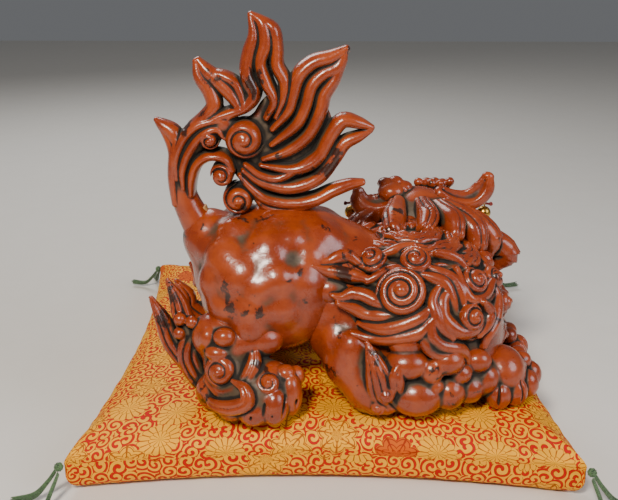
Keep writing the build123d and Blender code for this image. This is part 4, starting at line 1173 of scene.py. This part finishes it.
def tube(name, lines, sides=14, twist_mm=0.0, plies=0):
    """Soft round strands along lines; each line's points are millimetres and a radius."""
    verts, faces, strand = [], [], []
    for rows in lines:
        path = spline(rows, 8)
        run = 0.0
        up = np.array((0.1, 0.2, 1.0))
        first = len(verts)
        for i, point in enumerate(path):
            along = unit(path[min(i + 1, len(path) - 1)][:3] - path[max(i - 1, 0)][:3])
            if i:
                run += np.linalg.norm(point[:3] - path[i - 1][:3])
            right = unit(np.cross(along, up))
            up = np.cross(right, along)
            for j in range(sides):
                a = 2 * math.pi * j / sides
                r = point[3]
                if plies:
                    lay = a + 2 * math.pi * run / twist_mm
                    r = r * (0.86 + 0.14 * abs(math.cos(lay * plies / 2)))
                verts.append(point[:3] + (right * math.cos(a) + up * math.sin(a)) * r)
                strand.append((j / sides, run, 0))
        count = len(path)
        for i in range(count - 1):
            for j in range(sides):
                k = (j + 1) % sides
                faces.append((first + i * sides + j, first + i * sides + k,
                              first + (i + 1) * sides + k, first + (i + 1) * sides + j))
        faces.append(tuple(first + j for j in reversed(range(sides))))
        faces.append(tuple(first + (count - 1) * sides + j for j in range(sides)))
    data = bpy.data.meshes.new(name)
    data.from_pydata([tuple(v * MM) for v in np.array(verts)], [], faces)
    layer = data.attributes.new("strand", "FLOAT_VECTOR", "POINT")
    layer.data.foreach_set("vector", np.array(strand, np.float32).ravel())
    data.polygons.foreach_set("use_smooth", [True] * len(data.polygons))
    piece = bpy.data.objects.new(name, data)
    bpy.context.scene.collection.objects.link(piece)
    return piece


# ---------------------------------------------------------------- what each operator makes
def dog():
    """The settings in the panel."""
    return bpy.context.scene.foo_dog


def tagged(tag):
    """Removes what this operator made the last time it ran."""
    for old in [o for o in bpy.data.objects if o.get("foo_part") == tag]:
        bpy.data.objects.remove(old, do_unlink=True)


def keep(piece, tag, key, slot_name, body, *nodes):
    """Paints a piece, sets it on its body and hides the CAD nodes that it replaces."""
    piece["foo_part"] = tag
    paint(piece, key)
    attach(piece, body)
    if nodes:
        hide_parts(*nodes)
    return piece


def fineness(settings):
    """Grid step of the large carvings, mm."""
    return settings.voxel


class FooDogSettings(bpy.types.PropertyGroup):
    voxel: bpy.props.FloatProperty(name="Carving step", description="Grid step of the carving, mm",
                                   default=1.0, min=0.7, max=3.0)
    quick_voxel: bpy.props.FloatProperty(name="Draft step", description="Grid step in draft runs, mm",
                                         default=1.7, min=1.0, max=4.0)
    fine_voxel: bpy.props.FloatProperty(name="Fine step", description="Grid step of small carvings, mm",
                                        default=0.6, min=0.3, max=2.0)
    side: bpy.props.FloatProperty(name="Cushion side", description="Corner to corner along a side",
                                  default=0.420, unit="LENGTH")
    crown: bpy.props.FloatProperty(name="Crown",
                                   description="Height of the cushion where nothing presses",
                                   default=0.060, unit="LENGTH")
    rest: bpy.props.FloatProperty(name="Rest height", description="Height of the soles",
                                  default=SOLE_Z, unit="LENGTH")
    pull: bpy.props.FloatProperty(name="Side pull",
                                  description="How far a side curves in between corners",
                                  default=0.019, unit="LENGTH")
    fill: bpy.props.FloatProperty(name="Fill", description="How tight the cushion is stuffed",
                                  default=0.7, min=0.0, max=1.0, subtype="FACTOR")
    key_power: bpy.props.FloatProperty(name="Key light", description="Power of the main lamp, watts",
                                       default=27.0, min=0.0)
    fill_power: bpy.props.FloatProperty(name="Fill light", description="Power of the side lamp, watts",
                                        default=11.0, min=0.0)


class FOO_OT_tail(bpy.types.Operator):
    """Carves the flaming tail, a block of its own on a tenon"""

    bl_idname = "foo.tail"
    bl_label = "Tail"

    def execute(self, context):
        tagged("tail")
        piece = carve_tail(fineness(dog()) * 0.85).mesh("tail_carving")
        keep(piece, "tail", "lacquer", "red_lacquer", "statue", "tail")
        return {"FINISHED"}


class FOO_OT_body(bpy.types.Operator):
    """Carves the two blocks of the body: rump, and chest with its mane"""

    bl_idname = "foo.body"
    bl_label = "Rump and chest"

    def execute(self, context):
        tagged("body")
        step = fineness(dog())
        rear = carve_rear(step).mesh("rump_carving")
        keep(rear, "body", "lacquer", "red_lacquer", "statue", "rear_block")
        front = carve_front(step).mesh("mane_carving")
        keep(front, "body", "lacquer", "red_lacquer", "statue", "front_block")
        return {"FINISHED"}


class FOO_OT_legs(bpy.types.Operator):
    """Carves the four legs, each a block of its own"""

    bl_idname = "foo.legs"
    bl_label = "Legs"

    def execute(self, context):
        tagged("legs")
        step = fineness(dog())
        fore = carve_foreleg(step)
        for side, mirrored in (("right", False), ("left", True)):
            hind = carve_hind_leg(step, 0.72 if mirrored else 1.0)
            piece = hind.mesh(f"{side}_hind_leg_carving", mirrored)
            keep(piece, "legs", "lacquer", "red_lacquer", "statue", f"{side}_hind_leg")
            piece = fore.mesh(f"{side}_foreleg_carving", mirrored)
            keep(piece, "legs", "lacquer", "red_lacquer", "statue", f"{side}_foreleg")
        return {"FINISHED"}


class FOO_OT_head(bpy.types.Operator):
    """Carves the turned head with its jaw, tongue, teeth, ears and eyes"""

    bl_idname = "foo.head"
    bl_label = "Head"

    def execute(self, context):
        tagged("head")
        step = fineness(dog())
        fine = dog().fine_voxel
        keep(carve_head(step * 0.85).mesh("head_carving"), "head", "lacquer", "red_lacquer", "statue",
             "head")
        keep(carve_jaw(step * 0.85).mesh("jaw_carving"), "head", "lacquer", "red_lacquer", "statue",
             "lower_jaw")
        keep(carve_tongue(fine).mesh("tongue_carving"), "head", "mouth", "red_lacquer", "statue",
             "tongue")
        for side in ("right", "left"):
            keep(carve_ear(side, fine).mesh(f"{side}_ear_carving"), "head", "lacquer", "red_lacquer",
                 "statue", f"{side}_ear")
        for name in ("upper", "lower"):
            teeth = carve_teeth(name == "upper", fine * 0.7).mesh(f"{name}_teeth_carving")
            keep(teeth, "head", "ivory", "teeth", "statue", f"{name}_teeth")
        for side, x in (("right", 106), ("left", 70)):
            keep(set_eye(f"{side}_eye_set", x), "head", "eye", "eye_glass", "statue", f"{side}_eye")
        return {"FINISHED"}


def set_eye(name, x):
    """A glass ball with a painted iris that looks along +Y, a little down."""
    data = bpy.data.meshes.new(name)
    rings, spokes, radius = 28, 40, 8.5
    look = unit((0.06 if x > HEAD_LINE else -0.06, 1.0, -0.12))
    right = unit(np.cross(look, (0, 0, 1)))
    up = np.cross(right, look)
    verts, iris, faces = [], [], []
    for i in range(rings + 1):
        a = math.pi * max(i, 0.02) / (rings + 0.04)
        swell = 1 + 0.05 * math.exp(-(a / 0.45) ** 2)
        for j in range(spokes):
            b = 2 * math.pi * j / spokes
            ray = look * math.cos(a) + (right * math.cos(b) + up * math.sin(b)) * math.sin(a)
            verts.append((np.array((x, 25.0, 129.0)) + ray * radius * swell) * MM + (0, 0, SOLE_Z))
            iris.append((a * 1.05 * math.cos(b), a * 1.05 * math.sin(b), 0))
    for i in range(rings):
        for j in range(spokes):
            k = (j + 1) % spokes
            faces.append((i * spokes + j, i * spokes + k, (i + 1) * spokes + k, (i + 1) * spokes + j))
    faces.append(tuple(reversed(range(spokes))))
    faces.append(tuple(rings * spokes + j for j in range(spokes)))
    data.from_pydata([tuple(v) for v in verts], [], faces)
    layer = data.attributes.new("iris", "FLOAT_VECTOR", "POINT")
    layer.data.foreach_set("vector", np.array(iris, np.float32).ravel())
    data.polygons.foreach_set("use_smooth", [True] * len(data.polygons))
    piece = bpy.data.objects.new(name, data)
    bpy.context.scene.collection.objects.link(piece)
    return piece


class FOO_OT_cushion(bpy.types.Operator):
    """Sews the brocade cushion, with the dents that the carving presses into it"""

    bl_idname = "foo.cushion"
    bl_label = "Cushion"

    def execute(self, context):
        tagged("cushion")
        cover = sew_cushion(dog())
        keep(cover, "cushion", "brocade", "brocade", "cushion", "cushion_cover", "cushion_filling")
        return {"FINISHED"}


CORNERS = (("front_right", 1, -1), ("front_left", 1, 1), ("back_right", -1, -1), ("back_left", -1, 1))


class FOO_OT_tassels(bpy.types.Operator):
    """Ties the green thread tassels at the cushion's corners"""

    bl_idname = "foo.tassels"
    bl_label = "Tassels"

    def execute(self, context):
        tagged("tassels")
        rng = random.Random(11)
        half = dog().side / MM / 2
        for name, sx, sy in CORNERS:
            out, across = np.array((sx, sy, 0)) / math.sqrt(2), np.array((-sy, sx, 0)) / math.sqrt(2)
            corner = np.array((sx * half, sy * half, 0.0))

            def place(a, b, z):
                return corner + out * a + across * b + np.array((0, 0, z))

            wraps = []
            for i in range(4):
                tip = []
                for j in range(9):
                    turn = 2 * math.pi * (j / 8 + i * 0.13)
                    lean = math.pi * i / 4
                    flat = 3.1 * math.cos(turn)
                    side = 3.1 * math.sin(turn)
                    tip.append((*place(4.2 + flat * math.cos(lean), side,
                                       28 + flat * math.sin(lean)), 0.85))
                wraps.append(tip)
            knot = tube(f"{name}_knot_wound", wraps, 10)
            keep(knot, "tassels", "thread", "tassel_thread", "cushion", f"tassel_knot_{name}")
            threads = []
            for side in (-1, 1):
                line = [(6.5, 2.4, 24, 2.3), (13.4, 4.5, 15.4, 2.7), (23.5, 8.9, 6, 3.5),
                        (40.1, 16.6, 4.9, 4.4)]
                for i in range(22):
                    a = 2.4 * i
                    spread = math.sqrt((i + 0.5) / 22)
                    rows = []
                    for k, (u, v, z, r) in enumerate(line):
                        loose = spread * (r - 0.55) * (0.75 + 0.25 * rng.random())
                        low = max(z + loose * math.sin(a) * 0.9, 0.7)
                        rows.append((*place(u - (rng.random() * 3 if k == 3 else 0),
                                            side * v + loose * math.cos(a), low), 0.48))
                    threads.append(rows)
            bundle = tube(f"{name}_threads_loose", threads, 6)
            keep(bundle, "tassels", "thread", "tassel_thread", "cushion", f"tassel_threads_{name}")
        return {"FINISHED"}


CORD_NEAR = [(157, -16, 139), (144, -16, 139), (139, -10, 124), (143, 6, 104), (130, 28, 82),
             (108, 46, 64),
             (98, 50, 62), (88, 50, 62)]


class FOO_OT_cord(bpy.types.Operator):
    """Twists the red cord that hangs from ear to ear and carries the bells"""

    bl_idname = "foo.cord"
    bl_label = "Bell cord"

    def execute(self, context):
        tagged("cord")
        near = np.array(CORD_NEAR, float)
        far = near[-2::-1].copy()
        far[:, 0] = 2 * HEAD_LINE - far[:, 0]
        path = np.vstack([near, far])
        path[:, 2] += SOLE_Z / MM
        rows = [(*p, 1.2) for p in path]
        cord = tube("bell_cord_twisted", [rows], 20, 7.5, 2)
        keep(cord, "cord", "cord", "red_cord", "statue", "bell_cord")
        knots = []
        for x, r in ((144, 2.7), (157, 1.7), (2 * HEAD_LINE - 144, 2.7), (2 * HEAD_LINE - 157, 1.7)):
            middle = np.array((x, -16, 139 + SOLE_Z / MM))
            for i in range(3):
                ring = []
                for j in range(9):
                    a = 2 * math.pi * (j / 8 + 0.2 * i)
                    lean = math.pi * i / 3
                    bend = np.array((r * 0.62 * math.cos(a) * math.sin(lean) + (i - 1) * r * 0.25,
                                     r * math.cos(a) * math.cos(lean) * 0.8,
                                     r * math.sin(a) * 0.8))
                    ring.append((*(middle + bend), r * 0.36))
                knots.append(ring)
        keep(tube("cord_knots_tied", knots, 12), "cord", "cord", "red_cord", "statue", "cord_knots")
        return {"FINISHED"}


CARRIED = (("bell_upper_", "brass", "bell_brass"), ("bell_lower_", "brass", "bell_brass"),
           ("bell_pellet_", "steel", "bell_pellet"), ("waist_dowels", "wood", "dowel_wood"),
           ("hind_leg_dowels", "wood", "dowel_wood"), ("foreleg_dowels", "wood", "dowel_wood"),
           ("tail_tenon", "wood", "dowel_wood"), ("neck_tenon", "wood", "dowel_wood"),
           ("ear_pegs", "wood", "dowel_wood"))


class FOO_OT_metal_and_wood(bpy.types.Operator):
    """Gives the bells, their pellets, the dowels and the tenons their materials"""

    bl_idname = "foo.metal_and_wood"
    bl_label = "Bells and dowels"

    def execute(self, context):
        for name, node in frame["nodes"].items():
            for start, key, slot_name in CARRIED:
                if name.startswith(start):
                    node.data.materials.clear()
                    node.data.materials.append(material(key))
        return {"FINISHED"}


class FOO_OT_stage(bpy.types.Operator):
    """Sets the floor, the lamps and the camera"""

    bl_idname = "foo.stage"
    bl_label = "Stage"

    def execute(self, context):
        tagged("stage")
        scene = context.scene
        data = bpy.data.meshes.new("floor")
        reach = 3.0
        data.from_pydata([(-reach, -reach, -0.0006), (reach, -reach, -0.0006), (reach, reach, -0.0006),
                          (-reach, reach, -0.0006)], [], [(0, 1, 2, 3)])
        floor = bpy.data.objects.new("floor", data)
        scene.collection.objects.link(floor)
        floor["foo_part"] = "stage"
        shade, tree, skin = blank("Pale paper backdrop")
        tree.links.new(mixed(tree, noise(tree, here(tree), 40, 3), linear("#D9D6CF"), linear("#DEDBD5")),
                       skin.inputs["Base Color"])
        skin.inputs["Roughness"].default_value = 0.85
        data.materials.append(shade)
        world = bpy.data.worlds.new("studio")
        scene.world = world
        world.use_nodes = True
        world.node_tree.nodes["Background"].inputs[0].default_value = linear("#E6E9EE")
        world.node_tree.nodes["Background"].inputs[1].default_value = 0.17
        lamps = [
            ("key", (-0.35, -1.15, 1.25), (0.0, -0.1, 0.18), 0.32, dog().key_power, "#FFF4E6"),
            ("side", (1.2, -0.7, 0.9), (0.0, -0.1, 0.15), 0.9, dog().fill_power, "#F2F5FF"),
            ("back", (-0.5, 1.1, 1.2), (0.0, 0.0, 0.15), 0.9, dog().fill_power, "#FFFFFF"),
        ]
        for name, place, target, size, power, tint in lamps:
            lamp = bpy.data.lights.new(name, "AREA")
            lamp.shape, lamp.size, lamp.energy = "DISK", size, power
            lamp.color = linear(tint)[:3]
            item = bpy.data.objects.new(name, lamp)
            item["foo_part"] = "stage"
            item.location = place
            aim = np.array(target) - np.array(place)
            item.rotation_euler = (math.atan2(math.hypot(aim[0], aim[1]), -aim[2]), 0,
                                   math.atan2(-aim[0], aim[1]))
            scene.collection.objects.link(item)
        lens = bpy.data.cameras.new("camera")
        lens.lens, lens.sensor_width = LENS, SENSOR
        camera = bpy.data.objects.new("camera", lens)
        camera["foo_part"] = "stage"
        camera.location = CAMERA_PLACE
        camera.rotation_euler = (math.radians(90 - CAMERA_DROP), 0, math.radians(CAMERA_TURN))
        scene.collection.objects.link(camera)
        scene.camera = camera
        return {"FINISHED"}


OPERATORS = (FOO_OT_stage, FOO_OT_cord, FOO_OT_tassels, FOO_OT_cushion, FOO_OT_tail, FOO_OT_body,
             FOO_OT_legs, FOO_OT_head, FOO_OT_metal_and_wood)


class FOO_PT_panel(bpy.types.Panel):
    """One button for each part of the model"""

    bl_label = "Foo dog"
    bl_idname = "FOO_PT_panel"
    bl_space_type = "VIEW_3D"
    bl_region_type = "UI"
    bl_category = "Foo dog"

    def draw(self, context):
        for name in ("voxel", "side", "crown", "pull", "fill", "key_power", "fill_power"):
            self.layout.prop(context.scene.foo_dog, name)
        for operator in OPERATORS:
            self.layout.operator(operator.bl_idname)


def register():
    for item in (FooDogSettings, *OPERATORS, FOO_PT_panel):
        bpy.utils.register_class(item)
    bpy.types.Scene.foo_dog = bpy.props.PointerProperty(type=FooDogSettings)


def unregister():
    del bpy.types.Scene.foo_dog
    for item in (FOO_PT_panel, *reversed(OPERATORS), FooDogSettings):
        bpy.utils.unregister_class(item)


def main():
    register()
    for operator in OPERATORS:
        group, name = operator.bl_idname.split(".")
        getattr(getattr(bpy.ops, group), name)()
    bpy.context.view_layer.update()


if __name__ == "__main__":
    main()
